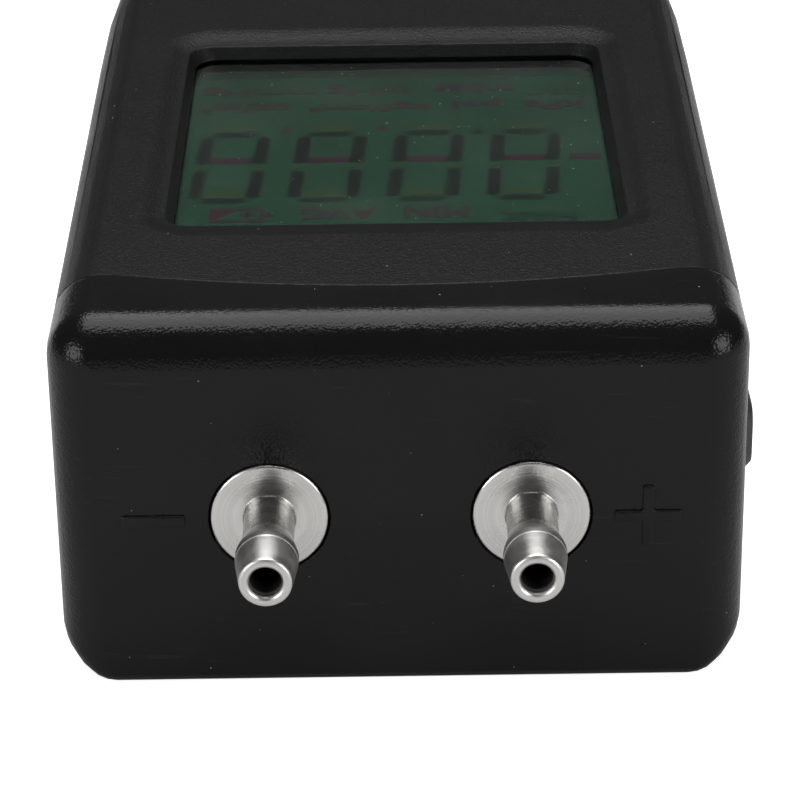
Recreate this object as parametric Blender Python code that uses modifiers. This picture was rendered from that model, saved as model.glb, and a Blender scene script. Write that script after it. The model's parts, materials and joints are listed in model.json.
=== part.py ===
"""A handheld digital manometer: a port cap and two moulded covers round a display, boards and a battery.

All lengths are in metres. The instrument lies on its back: +Z is the front with the display, -Y is the
end with the two ports, and +X is the side of the plus port. The origin is on the rear face, at the
middle of the body. Stations are distances along the body from the face that carries the ports.
"""

import math

import bmesh
import bpy
from mathutils import Matrix, Vector

MM = 0.001

# Fits
GAP = 0.3 * MM
SEAM_GAP = 0.3 * MM

# Housing
BODY_DEPTH = 43.0 * MM
BODY_BULGE = 0.7 * MM
DISPLAY_SIDE_SPACE = 4.6 * MM
GRIP_SIDE_SPACE = 2.7 * MM
SHOULDER_SETBACK = 12.0 * MM
SHOULDER_REACH = 42.0 * MM
WALL = 2.3 * MM
FRONT_EDGE_RADIUS = 5.0 * MM
REAR_EDGE_RADIUS = 6.0 * MM
PORT_END_RADIUS = 5.0 * MM
PORT_END_REAR_RADIUS = 1.0 * MM
FAR_END_RADIUS = 9.0 * MM
FAR_END_REAR_RADIUS = 2.0 * MM
LEAST_RADIUS = 0.3 * MM
PARTING_CLEARANCE = 2.1 * MM
LAP_HEIGHT = 1.6 * MM
FRONT_ARC_STEPS = 6
REAR_ARC_STEPS = 5
INNER_ARC_STEPS = 2
SHOULDER_STEPS = 6

# Port cap
END_WALL = 4.5 * MM
SEAM_STATION = 10.2 * MM
SEAM_SAG = 3.7 * MM
SEAM_ARC_INSET = 7.0 * MM
LIP_WALL = 1.5 * MM
LIP_LENGTH = 4.0 * MM

# Ports
PORT_SPACING = 28.2 * MM
PORT_DROP = 7.5 * MM
FLANGE_RADIUS = 6.3 * MM
FLANGE_THICKNESS = 1.4 * MM
FLANGE_PROUD = 0.15 * MM
FLANGE_CHAMFER = 0.35 * MM
NECK_RADIUS = 2.75 * MM
NECK_LENGTH = 7.1 * MM
BARB_RADIUS = 3.38 * MM
BARB_RISE = 2.9 * MM
BARB_LAND = 0.5 * MM
TIP_RADIUS = 2.85 * MM
TIP_TAPER = 4.5 * MM
TIP_ROUND = 0.45 * MM
PORT_BORE_RADIUS = 1.7 * MM
SHANK_RADIUS = 3.0 * MM
SPIGOT_RADIUS = 1.5 * MM
SPIGOT_BORE_RADIUS = 0.9 * MM
SPIGOT_LENGTH = 7.0 * MM
SEAL_THICKNESS = 0.8 * MM
NUT_ACROSS_FLATS = 9.0 * MM
NUT_THICKNESS = 2.5 * MM
TURNED_STEPS = 22

# Display window and stack
WINDOW_START = 29.3 * MM
WINDOW_LENGTH = 59.7 * MM
WINDOW_WIDTH = 52.6 * MM
WINDOW_CORNER_RADIUS = 3.0 * MM
WINDOW_DRAFT = 0.9 * MM
DISH_DEPTH = 0.8 * MM
DISH_END_MARGIN = 4.9 * MM
DISH_SIDE_MARGIN = 3.3 * MM
DISH_CORNER_RADIUS = 7.0 * MM
DISH_STEPS = 5
LENS_THICKNESS = 1.6 * MM
LENS_MARGIN = 1.5 * MM
LCD_THICKNESS = 2.0 * MM
LCD_MARGIN = 2.2 * MM
BACKLIGHT_THICKNESS = 3.0 * MM
FRAME_WALL = 1.8 * MM
FRAME_LEDGE_WIDTH = 2.0 * MM
FRAME_LEDGE_HEIGHT = 2.8 * MM
ZEBRA_WIDTH = 2.4 * MM
ZEBRA_INSET = 4.5 * MM

# Boards
BOARD_THICKNESS = 1.6 * MM
BOARD_SIDE_CLEARANCE = 1.0 * MM
BOARD_NECK_CLEARANCE = 2.0 * MM
BOARD_BAY_CLEARANCE = 0.6 * MM
BOARD_OVERLAP = 7.0 * MM
KEY_BOARD_MARGIN = 5.5 * MM
HEADER_WIDTH = 26.0 * MM
HEADER_DEPTH = 2.6 * MM
BOARD_POST_RADIUS = 2.2 * MM
BOARD_POST_CLEARANCE = 0.7 * MM
BOARD_SCREW_RADIUS = 1.0 * MM
BOARD_SCREW_HEAD_RADIUS = 1.9 * MM
BOARD_SCREW_HEAD_HEIGHT = 1.5 * MM
BOARD_SCREW_LENGTH = 6.5 * MM

# Keys
KEY_COLUMNS = 2
KEY_ROWS = 3
KEY_LENGTH = 9.5 * MM
KEY_WIDTH = 16.0 * MM
KEY_CORNER_RADIUS = 3.0 * MM
KEY_PROUD = 1.6 * MM
KEY_EDGE_RADIUS = 0.8 * MM
KEY_COLUMN_SPACING = 27.0 * MM
KEY_ROW_SPACING = 16.5 * MM
KEY_FLANGE = 1.2 * MM
KEY_FLANGE_THICKNESS = 1.0 * MM
KEY_STEM_RADIUS = 2.5 * MM
KEY_STEM_LENGTH = 2.2 * MM
KEY_MARGIN = 4.0 * MM
MAT_THICKNESS = 1.8 * MM
MAT_MARGIN = 2.0 * MM

# Pressure sensor and hoses
HOSE_RUN = 12.4 * MM
HOSE_END = 0.5 * MM
SENSOR_LENGTH = 16.0 * MM
SENSOR_WIDTH = 20.0 * MM
SENSOR_PORT_SPACING = 10.4 * MM
SENSOR_PORT_LENGTH = 6.0 * MM
SENSOR_DEPTH_BELOW_PORTS = 3.0 * MM
HOSE_WALL = 1.0 * MM
HOSE_STEPS = 8

# Battery
BATTERY_LENGTH = 45.4 * MM
BATTERY_WIDTH = 26.3 * MM
BATTERY_DEPTH = 17.3 * MM
BATTERY_EDGE_RADIUS = 1.5 * MM
BATTERY_TERMINAL_SPACING = 12.7 * MM
BATTERY_TERMINAL_RADIUS = 2.85 * MM
BATTERY_TERMINAL_LENGTH = 3.0 * MM
SNAP_THICKNESS = 2.8 * MM
SNAP_WIDTH = 25.0 * MM
SNAP_HEIGHT = 12.0 * MM
FOAM_THICKNESS = 1.5 * MM
BAY_WALL = 2.8 * MM
BAY_CEILING = 1.5 * MM
BAY_CLEARANCE = 0.5 * MM
BAY_LEAD_SPACE = 2.4 * MM
LEAD_RADIUS = 0.6 * MM
LEAD_SPACING = 6.0 * MM
LEAD_STEPS = 10
LEAD_SLOT_HEIGHT = 9.0 * MM
DOOR_THICKNESS = 1.6 * MM
DOOR_LAP = 1.6 * MM
DOOR_CORNER_RADIUS = 2.0 * MM
DOOR_SCREW_LAND = 9.0 * MM
DOOR_TONGUE_WIDTH = 12.0 * MM
DOOR_TONGUE_REACH = 1.6 * MM
DOOR_TONGUE_THICKNESS = 1.2 * MM
DOOR_POST_RADIUS = 3.6 * MM
DOOR_SCREW_LENGTH = 8.0 * MM
DOOR_SCREW_SET = 0.1 * MM
END_SPACE = 15.0 * MM

# Housing screws
SCREW_RADIUS = 1.5 * MM
SCREW_HEAD_RADIUS = 2.7 * MM
SCREW_HEAD_HEIGHT = 2.2 * MM
SCREW_SLOT_WIDTH = 0.8 * MM
SCREW_RECESS_DEPTH = 12.0 * MM
SCREW_ENGAGEMENT = 9.0 * MM
POST_WALL = 1.5 * MM
UPPER_SCREW_INSET = 7.0 * MM
UPPER_SCREW_SETBACK = 11.5 * MM
LOWER_SCREW_INSET = 8.5 * MM

# Side jack
JACK_LENGTH = 12.0 * MM
JACK_WIDTH = 8.4 * MM
JACK_HEIGHT = 14.0 * MM
JACK_MOUTH_RADIUS = 3.2 * MM
JACK_APERTURE_MARGIN = 0.4 * MM
JACK_MOUTH_DEPTH = 9.0 * MM
JACK_PIN_RADIUS = 1.0 * MM
JACK_COVER_LENGTH = 14.0 * MM
JACK_COVER_HEIGHT = 8.4 * MM
JACK_COVER_PROUD = 2.0 * MM
JACK_PLUG_LENGTH = 1.2 * MM

# Parts on the main board
PROCESSOR_SIZE = 12.0 * MM
PROCESSOR_THICKNESS = 1.6 * MM
AMPLIFIER_LENGTH = 6.0 * MM
AMPLIFIER_WIDTH = 5.0 * MM
CRYSTAL_LENGTH = 10.5 * MM
CRYSTAL_WIDTH = 4.4 * MM
CRYSTAL_HEIGHT = 3.4 * MM
CAPACITOR_RADIUS = 3.15 * MM
CAPACITOR_HEIGHT = 7.5 * MM
CAPACITOR_INSET = 11.4 * MM
BUZZER_RADIUS = 6.0 * MM
BUZZER_HEIGHT = 6.0 * MM
BUZZER_HOLE_RADIUS = 1.2 * MM
CHIP_SPACING = 14.0 * MM


# Levels that follow from the stack under the display
INNER_FRONT = BODY_DEPTH - WALL
LENS_TOP = INNER_FRONT - GAP
LCD_TOP = LENS_TOP - LENS_THICKNESS - GAP
BACKLIGHT_TOP = LCD_TOP - LCD_THICKNESS - GAP
LEDGE_TOP = BACKLIGHT_TOP - BACKLIGHT_THICKNESS - GAP
FRAME_BOTTOM = LEDGE_TOP - FRAME_LEDGE_HEIGHT
BOARD_TOP = FRAME_BOTTOM - GAP
BOARD_BOTTOM = BOARD_TOP - BOARD_THICKNESS
UNDER_BOARD = BOARD_BOTTOM - GAP
PORT_HEIGHT = UNDER_BOARD - PORT_DROP
JACK_LEVEL = UNDER_BOARD - JACK_HEIGHT / 2
PARTING_HEIGHT = JACK_LEVEL + JACK_COVER_HEIGHT / 2 + PARTING_CLEARANCE

# Levels that follow from the keys
KEY_TOP = BODY_DEPTH + KEY_PROUD
KEY_FLANGE_TOP = INNER_FRONT - GAP
KEY_BOTTOM = KEY_FLANGE_TOP - KEY_FLANGE_THICKNESS - KEY_STEM_LENGTH
MAT_TOP = KEY_BOTTOM - GAP
KEY_BOARD_TOP = MAT_TOP - MAT_THICKNESS - GAP
KEY_BOARD_BOTTOM = KEY_BOARD_TOP - BOARD_THICKNESS

# Levels of the battery bay
BATTERY_BOTTOM = DOOR_THICKNESS + BAY_CLEARANCE
BATTERY_TOP = BATTERY_BOTTOM + BATTERY_DEPTH
BAY_TOP = BATTERY_TOP + FOAM_THICKNESS + 2 * GAP
BATTERY_MIDDLE = (BATTERY_BOTTOM + BATTERY_TOP) / 2

# Widths that follow from the display and the keys
LCD_HALF_WIDTH = WINDOW_WIDTH / 2 + LCD_MARGIN
FRAME_HALF_WIDTH = LCD_HALF_WIDTH + GAP + FRAME_WALL
BODY_WIDTH = 2 * (FRAME_HALF_WIDTH + DISPLAY_SIDE_SPACE + WALL)
BOARD_HALF_WIDTH = BODY_WIDTH / 2 - WALL - GAP - LIP_WALL - BOARD_SIDE_CLEARANCE
SEAM_ARC_HALF_WIDTH = BODY_WIDTH / 2 - SEAM_ARC_INSET
KEY_BOARD_WIDTH = (KEY_COLUMNS - 1) * KEY_COLUMN_SPACING + KEY_WIDTH + 2 * KEY_BOARD_MARGIN
GRIP_WIDTH = KEY_BOARD_WIDTH + 2 * (GRIP_SIDE_SPACE + WALL)
UPPER_SCREW_SPACING = BODY_WIDTH - 2 * UPPER_SCREW_INSET
LOWER_SCREW_SPACING = GRIP_WIDTH - 2 * LOWER_SCREW_INSET
REAR_POST_RADIUS = SCREW_HEAD_RADIUS + GAP + POST_WALL
BOARD_NECK_WIDTH = UPPER_SCREW_SPACING - 2 * (REAR_POST_RADIUS + BOARD_NECK_CLEARANCE)
JACK_REACH = WALL + GAP + JACK_LENGTH
BOARD_POST_SPACING = BODY_WIDTH - 2 * (JACK_REACH + BOARD_POST_RADIUS + BOARD_POST_CLEARANCE)

# Stations that follow from the ports
SHANK_END = END_WALL + 2 * GAP + NUT_THICKNESS
SENSOR_STATION = SHANK_END + SPIGOT_LENGTH + HOSE_RUN + SENSOR_PORT_LENGTH

# Stations that follow from the window
WINDOW_END = WINDOW_START + WINDOW_LENGTH
LCD_START = WINDOW_START - LCD_MARGIN
LCD_END = WINDOW_END + LCD_MARGIN + ZEBRA_WIDTH
FRAME_START = LCD_START - GAP - FRAME_WALL
FRAME_END = LCD_END + GAP + FRAME_WALL
LIP_END = SEAM_STATION + SEAM_SAG + LIP_LENGTH
BOARD_START = LIP_END + GAP
NEAR_POST_STATION = FRAME_START - GAP - BOARD_POST_RADIUS
FAR_POST_STATION = FRAME_END + GAP + BOARD_POST_RADIUS

# Stations of the grip, which follow one another down the body
SHOULDER_START = WINDOW_END + DISH_END_MARGIN + SHOULDER_SETBACK
UPPER_SCREW_STATION = WINDOW_END + DISH_END_MARGIN + UPPER_SCREW_SETBACK
BOARD_NECK_STATION = FAR_POST_STATION + BOARD_POST_RADIUS
DOOR_START = UPPER_SCREW_STATION + SCREW_HEAD_RADIUS + POST_WALL
BAY_START = DOOR_START + DOOR_SCREW_LAND + BAY_WALL
SNAP_START = BAY_START + BAY_LEAD_SPACE
BATTERY_START = SNAP_START + SNAP_THICKNESS + GAP + BATTERY_TERMINAL_LENGTH
BAY_END = BATTERY_START + BATTERY_LENGTH + BAY_CLEARANCE
BODY_LENGTH = BAY_END + BAY_WALL + END_SPACE
LOWER_SCREW_STATION = BODY_LENGTH - FAR_END_RADIUS
SHOULDER_END = BAY_START + SHOULDER_REACH
BOARD_END = BAY_START - BAY_WALL - BOARD_BAY_CLEARANCE
KEY_BOARD_START = BOARD_END - BOARD_OVERLAP
FIRST_KEY_STATION = KEY_BOARD_START + BOARD_OVERLAP + KEY_MARGIN + KEY_LENGTH / 2
LAST_KEY_STATION = FIRST_KEY_STATION + (KEY_ROWS - 1) * KEY_ROW_SPACING
KEY_BOARD_END = LAST_KEY_STATION + KEY_LENGTH / 2 + KEY_MARGIN

JACK_STATION = BOARD_START + GAP + JACK_WIDTH / 2


def along(station):
    """The Y coordinate of a station."""
    return station - BODY_LENGTH / 2


def ease(value, low, high):
    """A smooth step from 0 at low to 1 at high."""
    t = min(max((value - low) / (high - low), 0.0), 1.0)
    return t * t * (3.0 - 2.0 * t)


def half_width(station):
    """Half the housing's width: nearly straight beside the display, then drawn in to the grip."""
    bulge = BODY_BULGE * ease(station, SEAM_STATION, WINDOW_END)
    draw_in = (BODY_WIDTH - GRIP_WIDTH) / 2 + BODY_BULGE
    return BODY_WIDTH / 2 + bulge - draw_in * ease(station, SHOULDER_START, SHOULDER_END)


# Scene, materials and collections


def clear_scene():
    for obj in list(bpy.data.objects):
        bpy.data.objects.remove(obj, do_unlink=True)


def new_collection(name, parent):
    collection = bpy.data.collections.new(name)
    parent.children.link(collection)
    return collection


def new_material(name, colour, roughness, metallic=0.0, transmission=0.0):
    material = bpy.data.materials.new(name)
    material.use_nodes = True
    shader = material.node_tree.nodes["Principled BSDF"]
    shader.inputs["Base Color"].default_value = (*colour, 1.0)
    shader.inputs["Roughness"].default_value = roughness
    shader.inputs["Metallic"].default_value = metallic
    shader.inputs["Transmission Weight"].default_value = transmission
    return material


clear_scene()
PARTS = new_collection("digital_manometer", bpy.context.scene.collection)
CUTTERS = new_collection("cutters", bpy.context.scene.collection)
CUTTERS.hide_render = True

HOUSING = new_material("housing_plastic", (0.022, 0.022, 0.023), 0.42)
CAP = new_material("port_cap_plastic", (0.018, 0.018, 0.019), 0.4)
NICKEL = new_material("nickel_plate", (0.72, 0.70, 0.67), 0.22, 1.0)
STEEL = new_material("zinc_steel", (0.62, 0.63, 0.65), 0.3, 1.0)
LENS = new_material("lens_acrylic", (0.9, 0.95, 0.92), 0.05, 0.0, 0.9)
GLASS = new_material("lcd_glass", (0.06, 0.12, 0.08), 0.12)
LIGHT_GUIDE = new_material("light_guide", (0.75, 0.78, 0.72), 0.4)
FRAME = new_material("frame_plastic", (0.6, 0.6, 0.58), 0.5)
RUBBER = new_material("black_rubber", (0.015, 0.015, 0.015), 0.7)
SILICONE = new_material("grey_silicone", (0.16, 0.17, 0.18), 0.6)
CLEAR_SILICONE = new_material("clear_silicone", (0.68, 0.69, 0.66), 0.35, 0.0, 0.4)
KEY_PLASTIC = new_material("key_plastic", (0.05, 0.05, 0.055), 0.5)
LAMINATE = new_material("board_laminate", (0.02, 0.16, 0.06), 0.5)
EPOXY = new_material("chip_epoxy", (0.02, 0.02, 0.02), 0.45)
SENSOR = new_material("sensor_housing", (0.55, 0.55, 0.52), 0.5)
TIN = new_material("tinned_can", (0.6, 0.6, 0.58), 0.3, 1.0)
SLEEVE = new_material("capacitor_sleeve", (0.03, 0.04, 0.12), 0.35)
WRAP = new_material("battery_wrap", (0.04, 0.05, 0.07), 0.35)
FOAM = new_material("grey_foam", (0.12, 0.12, 0.12), 0.9)
RED_WIRE = new_material("red_insulation", (0.5, 0.02, 0.02), 0.45)
BLACK_WIRE = new_material("black_insulation", (0.02, 0.02, 0.02), 0.45)


def add_object(name, mesh, material=None, collection=PARTS, location=(0, 0, 0), rotation=(0, 0, 0)):
    """A mesh as an object: a part when it has a material, otherwise a hidden cutter."""
    obj = bpy.data.objects.new(name, mesh)
    obj.location = location
    obj.rotation_euler = rotation
    if material is None:
        CUTTERS.objects.link(obj)
        obj.hide_render = True
        obj.display_type = "WIRE"
    else:
        collection.objects.link(obj)
        mesh.materials.append(material)
    return obj


def smooth(obj, angle=35.0):
    obj.data.shade_smooth()
    obj.data.set_sharp_from_angle(angle=math.radians(angle))


# Shapes


def box(name, x, y, z, material=None, edge=0.0, segments=2):
    """A block between two values on each axis, its edges rounded when an edge radius is given."""
    size = (x[1] - x[0], y[1] - y[0], z[1] - z[0])
    centre = ((x[0] + x[1]) / 2, (y[0] + y[1]) / 2, (z[0] + z[1]) / 2)
    bm = bmesh.new()
    bmesh.ops.create_cube(bm, size=1.0, matrix=Matrix.Diagonal((*size, 1.0)))
    mesh = bpy.data.meshes.new(name)
    bm.to_mesh(mesh)
    bm.free()
    obj = add_object(name, mesh, material, location=centre)
    if edge > 0.0:
        bevel = obj.modifiers.new("rounded edges", "BEVEL")
        bevel.width = edge
        bevel.segments = segments
    return obj


def cylinder(name, radius, centre, length, material=None, axis="Z", segments=16, edge=0.0):
    """A cylinder centred on a point, along one axis."""
    bm = bmesh.new()
    bmesh.ops.create_cone(
        bm, cap_ends=True, segments=segments, radius1=radius, radius2=radius, depth=length
    )
    mesh = bpy.data.meshes.new(name)
    bm.to_mesh(mesh)
    bm.free()
    turn = {"X": (0, math.pi / 2, 0), "Y": (math.pi / 2, 0, 0), "Z": (0, 0, 0)}[axis]
    obj = add_object(name, mesh, material, location=centre, rotation=turn)
    if edge > 0.0:
        bevel = obj.modifiers.new("rounded edges", "BEVEL")
        bevel.width = edge
        bevel.segments = 2
        bevel.limit_method = "ANGLE"
        bevel.angle_limit = math.radians(60)
    smooth(obj)
    return obj


def upright(name, radius, x, station, low, high, material=None, segments=16, edge=0.0):
    """A cylinder along Z between two levels."""
    centre = (x, along(station), (low + high) / 2)
    return cylinder(name, radius, centre, high - low, material, "Z", segments, edge)


def turned(name, profile, location, rotation, material, closed=True, steps=TURNED_STEPS):
    """A profile of (radius, height) points spun about the local Z axis."""
    count = len(profile)
    ends = count if closed else count - 1
    mesh = bpy.data.meshes.new(name)
    edges = [(i, (i + 1) % count) for i in range(ends)]
    mesh.from_pydata([(radius, 0.0, height) for radius, height in profile], edges, [])
    obj = add_object(name, mesh, material, location=location, rotation=rotation)
    screw = obj.modifiers.new("spin", "SCREW")
    screw.steps = steps
    screw.render_steps = steps
    screw.use_merge_vertices = True
    screw.merge_threshold = 0.00001
    screw.use_smooth_shade = True
    return obj


def arc(centre_u, centre_v, radius, start, end, steps):
    """Points on an arc, angles in degrees."""
    angles = [math.radians(start + (end - start) * i / steps) for i in range(steps + 1)]
    return [(centre_u + radius * math.cos(a), centre_v + radius * math.sin(a)) for a in angles]


def rounded_outline(half_x, half_y, radius, steps=4):
    """A rectangle with round corners about the origin."""
    x = half_x - radius
    y = half_y - radius
    return (
        arc(x, y, radius, 0, 90, steps)
        + arc(-x, y, radius, 90, 180, steps)
        + arc(-x, -y, radius, 180, 270, steps)
        + arc(x, -y, radius, 270, 360, steps)
    )


def loft(name, rings, material=None, location=(0, 0, 0)):
    """A closed solid through rings that all have the same number of points."""
    bm = bmesh.new()
    loops = [[bm.verts.new(point) for point in ring] for ring in rings]
    count = len(loops[0])
    for first, second in zip(loops, loops[1:]):
        for i in range(count):
            j = (i + 1) % count
            bm.faces.new((first[i], first[j], second[j], second[i]))
    bm.faces.new(loops[0])
    bm.faces.new(loops[-1])
    bmesh.ops.recalc_face_normals(bm, faces=bm.faces)
    mesh = bpy.data.meshes.new(name)
    bm.to_mesh(mesh)
    bm.free()
    obj = add_object(name, mesh, material, location=location)
    smooth(obj)
    return obj


def stacked(name, levels, centre, material=None, steps=3):
    """A solid through rounded rectangles: each level is (height, half_x, half_y, corner_radius)."""
    rings = []
    for height, half_x, half_y, radius in levels:
        outline = rounded_outline(half_x, half_y, radius, steps)
        rings.append([(x, y, height) for x, y in outline])
    return loft(name, rings, material, location=centre)


def flat_plate(name, outline, low, high, material=None):
    """A flat outline as a filled 2D curve, thickened between two levels and made a mesh."""
    curve = bpy.data.curves.new(name, "CURVE")
    curve.dimensions = "2D"
    curve.fill_mode = "BOTH"
    curve.extrude = (high - low) / 2
    spline = curve.splines.new("POLY")
    spline.points.add(len(outline) - 1)
    for point, (x, y) in zip(spline.points, outline):
        point.co = (x, y, 0.0, 1.0)
    spline.use_cyclic_u = True
    return curve_to_mesh(name, curve, material, (0, 0, (low + high) / 2))


def curve_to_mesh(name, curve, material, location=(0, 0, 0)):
    """The solid that a curve with filled caps makes, its loose caps welded on."""
    guide = bpy.data.objects.new(name + "_curve", curve)
    guide.location = location
    PARTS.objects.link(guide)
    bpy.context.view_layer.update()
    evaluated = guide.evaluated_get(bpy.context.evaluated_depsgraph_get())
    mesh = bpy.data.meshes.new_from_object(evaluated)
    mesh.name = name
    bm = bmesh.new()
    bm.from_mesh(mesh)
    bmesh.ops.remove_doubles(bm, verts=bm.verts, dist=0.000001)
    bmesh.ops.recalc_face_normals(bm, faces=bm.faces)
    bm.to_mesh(mesh)
    bm.free()
    place = guide.matrix_world.copy()
    bpy.data.objects.remove(guide, do_unlink=True)
    obj = add_object(name, mesh, material)
    obj.matrix_world = place
    return obj


def tube(name, points, radius, material=None, resolution=2):
    """A round bar along a smooth run of points."""
    curve = bpy.data.curves.new(name, "CURVE")
    curve.dimensions = "3D"
    curve.bevel_depth = radius
    curve.bevel_resolution = resolution
    curve.use_fill_caps = True
    spline = curve.splines.new("POLY")
    spline.points.add(len(points) - 1)
    for point, place in zip(spline.points, points):
        point.co = (*place, 1.0)
    obj = curve_to_mesh(name, curve, material)
    smooth(obj, 50.0)
    return obj


def bezier(start, start_pull, end_pull, end, steps):
    """Points on a cubic curve between two places, each pulled along its own direction."""
    a = Vector(start)
    b = a + Vector(start_pull)
    d = Vector(end)
    c = d + Vector(end_pull)
    points = []
    for i in range(steps + 1):
        t = i / steps
        s = 1.0 - t
        points.append(a * s**3 + b * (3 * s * s * t) + c * (3 * s * t * t) + d * t**3)
    return points


def boolean(obj, other, operation="DIFFERENCE"):
    """Cuts or joins one object, or a list of objects gathered in a collection of their own."""
    modifier = obj.modifiers.new(operation.lower(), "BOOLEAN")
    modifier.operation = operation
    modifier.solver = "EXACT"
    if isinstance(other, list):
        group = new_collection(f"{obj.name}_{len(obj.modifiers)}", CUTTERS)
        for member in other:
            CUTTERS.objects.unlink(member)
            group.objects.link(member)
        modifier.operand_type = "COLLECTION"
        modifier.collection = group
    else:
        modifier.object = other


# Housing sections


def housing_ring(station, inset, side_inset, rear_inset, front_steps, rear_steps):
    """The housing's section at a station: rounder at the rear, shrunk by its insets."""
    side = half_width(station) - inset - side_inset
    front = BODY_DEPTH - inset - side_inset
    rear = inset + rear_inset
    front_radius = max(FRONT_EDGE_RADIUS - inset - side_inset, LEAST_RADIUS)
    rear_radius = max(REAR_EDGE_RADIUS - inset - side_inset, LEAST_RADIUS)
    outline = (
        arc(side - front_radius, front - front_radius, front_radius, 0, 90, front_steps)
        + arc(front_radius - side, front - front_radius, front_radius, 90, 180, front_steps)
        + arc(rear_radius - side, rear + rear_radius, rear_radius, 180, 270, rear_steps)
        + arc(side - rear_radius, rear + rear_radius, rear_radius, 270, 360, rear_steps)
    )
    return [(x, along(station), z) for x, z in outline]


def edge_inset(depth, radius):
    """How far a round edge of this radius has drawn in at a depth below its face."""
    if depth >= radius:
        return 0.0
    return radius - math.sqrt(radius**2 - (radius - depth) ** 2)


def housing_solid(name, inset, start, end, near_radii, far_radii, steps, material=None):
    """The housing's form between two stations, with round edges at both ends."""
    front_steps, rear_steps, end_steps = steps
    near, near_rear = near_radii
    far, far_rear = far_radii
    rings = []
    for i in range(end_steps + 1):
        depth = near * (1.0 - math.cos(math.radians(90.0 * i / end_steps)))
        insets = (edge_inset(depth, near), edge_inset(depth, near_rear))
        rings.append(housing_ring(start + depth, inset, *insets, front_steps, rear_steps))
    low = start + near
    high = end - far
    bends = [SEAM_STATION, WINDOW_START, (WINDOW_START + WINDOW_END) / 2, WINDOW_END]
    shoulder = SHOULDER_END - SHOULDER_START
    bends += [SHOULDER_START + shoulder * i / SHOULDER_STEPS for i in range(SHOULDER_STEPS + 1)]
    for station in bends:
        if low + MM < station < high - MM:
            rings.append(housing_ring(station, inset, 0.0, 0.0, front_steps, rear_steps))
    for i in range(end_steps + 1):
        depth = far * (1.0 - math.cos(math.radians(90.0 * (end_steps - i) / end_steps)))
        insets = (edge_inset(depth, far), edge_inset(depth, far_rear))
        rings.append(housing_ring(end - depth, inset, *insets, front_steps, rear_steps))
    return loft(name, rings, material)


def seam_outline(shift, far_side):
    """The plan of one side of the seam: a shallow arc across the front, straight beyond it."""
    reach = BODY_WIDTH
    edge = SEAM_STATION + SEAM_SAG + shift
    points = [(-reach, along(edge))]
    steps = 12
    for i in range(steps + 1):
        x = SEAM_ARC_HALF_WIDTH * (2.0 * i / steps - 1.0)
        sag = SEAM_SAG * (x / SEAM_ARC_HALF_WIDTH) ** 2
        points.append((x, along(SEAM_STATION + sag + shift)))
    points.append((reach, along(edge)))
    points.append((reach, along(far_side)))
    points.append((-reach, along(far_side)))
    return points


OUTER_STEPS = (FRONT_ARC_STEPS, REAR_ARC_STEPS, FRONT_ARC_STEPS)
INNER_STEPS = (INNER_ARC_STEPS, INNER_ARC_STEPS, INNER_ARC_STEPS)
LAP_STEPS = (1, 1, FRONT_ARC_STEPS)
END_RADII = (PORT_END_RADIUS, PORT_END_REAR_RADIUS)
FAR_RADII = (FAR_END_RADIUS, FAR_END_REAR_RADIUS)
BELOW = -10.0 * MM
ABOVE = BODY_DEPTH + 10.0 * MM


def outer_form(name, material):
    return housing_solid(name, 0.0, 0.0, BODY_LENGTH, END_RADII, FAR_RADII, OUTER_STEPS, material)


def inner_form(name, inset, start):
    """The inside of the housing, drawn in by a wall."""
    near = (PORT_END_RADIUS - WALL, PORT_END_REAR_RADIUS)
    far = (FAR_END_RADIUS - WALL, FAR_END_REAR_RADIUS)
    return housing_solid(name, inset, start, BODY_LENGTH - WALL, near, far, INNER_STEPS)


def port_places():
    return (("minus", -PORT_SPACING / 2), ("plus", PORT_SPACING / 2))


def build_port_cap():
    """The moulded end cap: a face with two counterbored holes, and a lip that the covers close on."""
    cap = outer_form("port_cap", CAP)
    boolean(cap, flat_plate("behind_seam", seam_outline(-SEAM_GAP / 2, BODY_LENGTH * 2), BELOW, ABOVE))
    lip_inset = WALL + GAP
    lip = housing_solid(
        "lip",
        lip_inset,
        END_WALL - GAP,
        LIP_END,
        (PORT_END_RADIUS - WALL, PORT_END_REAR_RADIUS),
        (0.0, 0.0),
        INNER_STEPS[:2] + (1,),
    )
    boolean(cap, lip, "UNION")
    boolean(cap, inner_form("cap_cavity", lip_inset + LIP_WALL, END_WALL))
    counterbore = SEAL_THICKNESS + FLANGE_THICKNESS - FLANGE_PROUD + 2 * GAP
    cuts = []
    for side, x in port_places():
        centre = (x, along(0.0), PORT_HEIGHT)
        cuts.append(
            cylinder(f"{side}_counterbore", FLANGE_RADIUS + GAP, centre, 2 * counterbore, None, "Y", 48)
        )
        cuts.append(
            cylinder(f"{side}_shank_hole", SHANK_RADIUS + GAP, centre, 4 * END_WALL, None, "Y", 24)
        )
    boolean(cap, cuts)
    smooth(cap)


def case_post_places():
    places = []
    for station, spacing in (
        (UPPER_SCREW_STATION, UPPER_SCREW_SPACING),
        (LOWER_SCREW_STATION, LOWER_SCREW_SPACING),
    ):
        places += [(-spacing / 2, station), (spacing / 2, station)]
    return places


def board_post_places():
    half = BOARD_POST_SPACING / 2
    return [(x, s) for s in (NEAR_POST_STATION, FAR_POST_STATION) for x in (-half, half)]


def key_post_places():
    return [(0.0, FIRST_KEY_STATION + (row + 0.5) * KEY_ROW_SPACING) for row in range(KEY_ROWS - 1)]


def key_places():
    names = ("power", "light", "units", "hold", "record", "zero")
    places = []
    for row in range(KEY_ROWS):
        for column in range(KEY_COLUMNS):
            x = (column - (KEY_COLUMNS - 1) / 2) * KEY_COLUMN_SPACING
            name = "key_" + names[row * KEY_COLUMNS + column]
            places.append((name, x, FIRST_KEY_STATION + row * KEY_ROW_SPACING))
    return places


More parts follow.
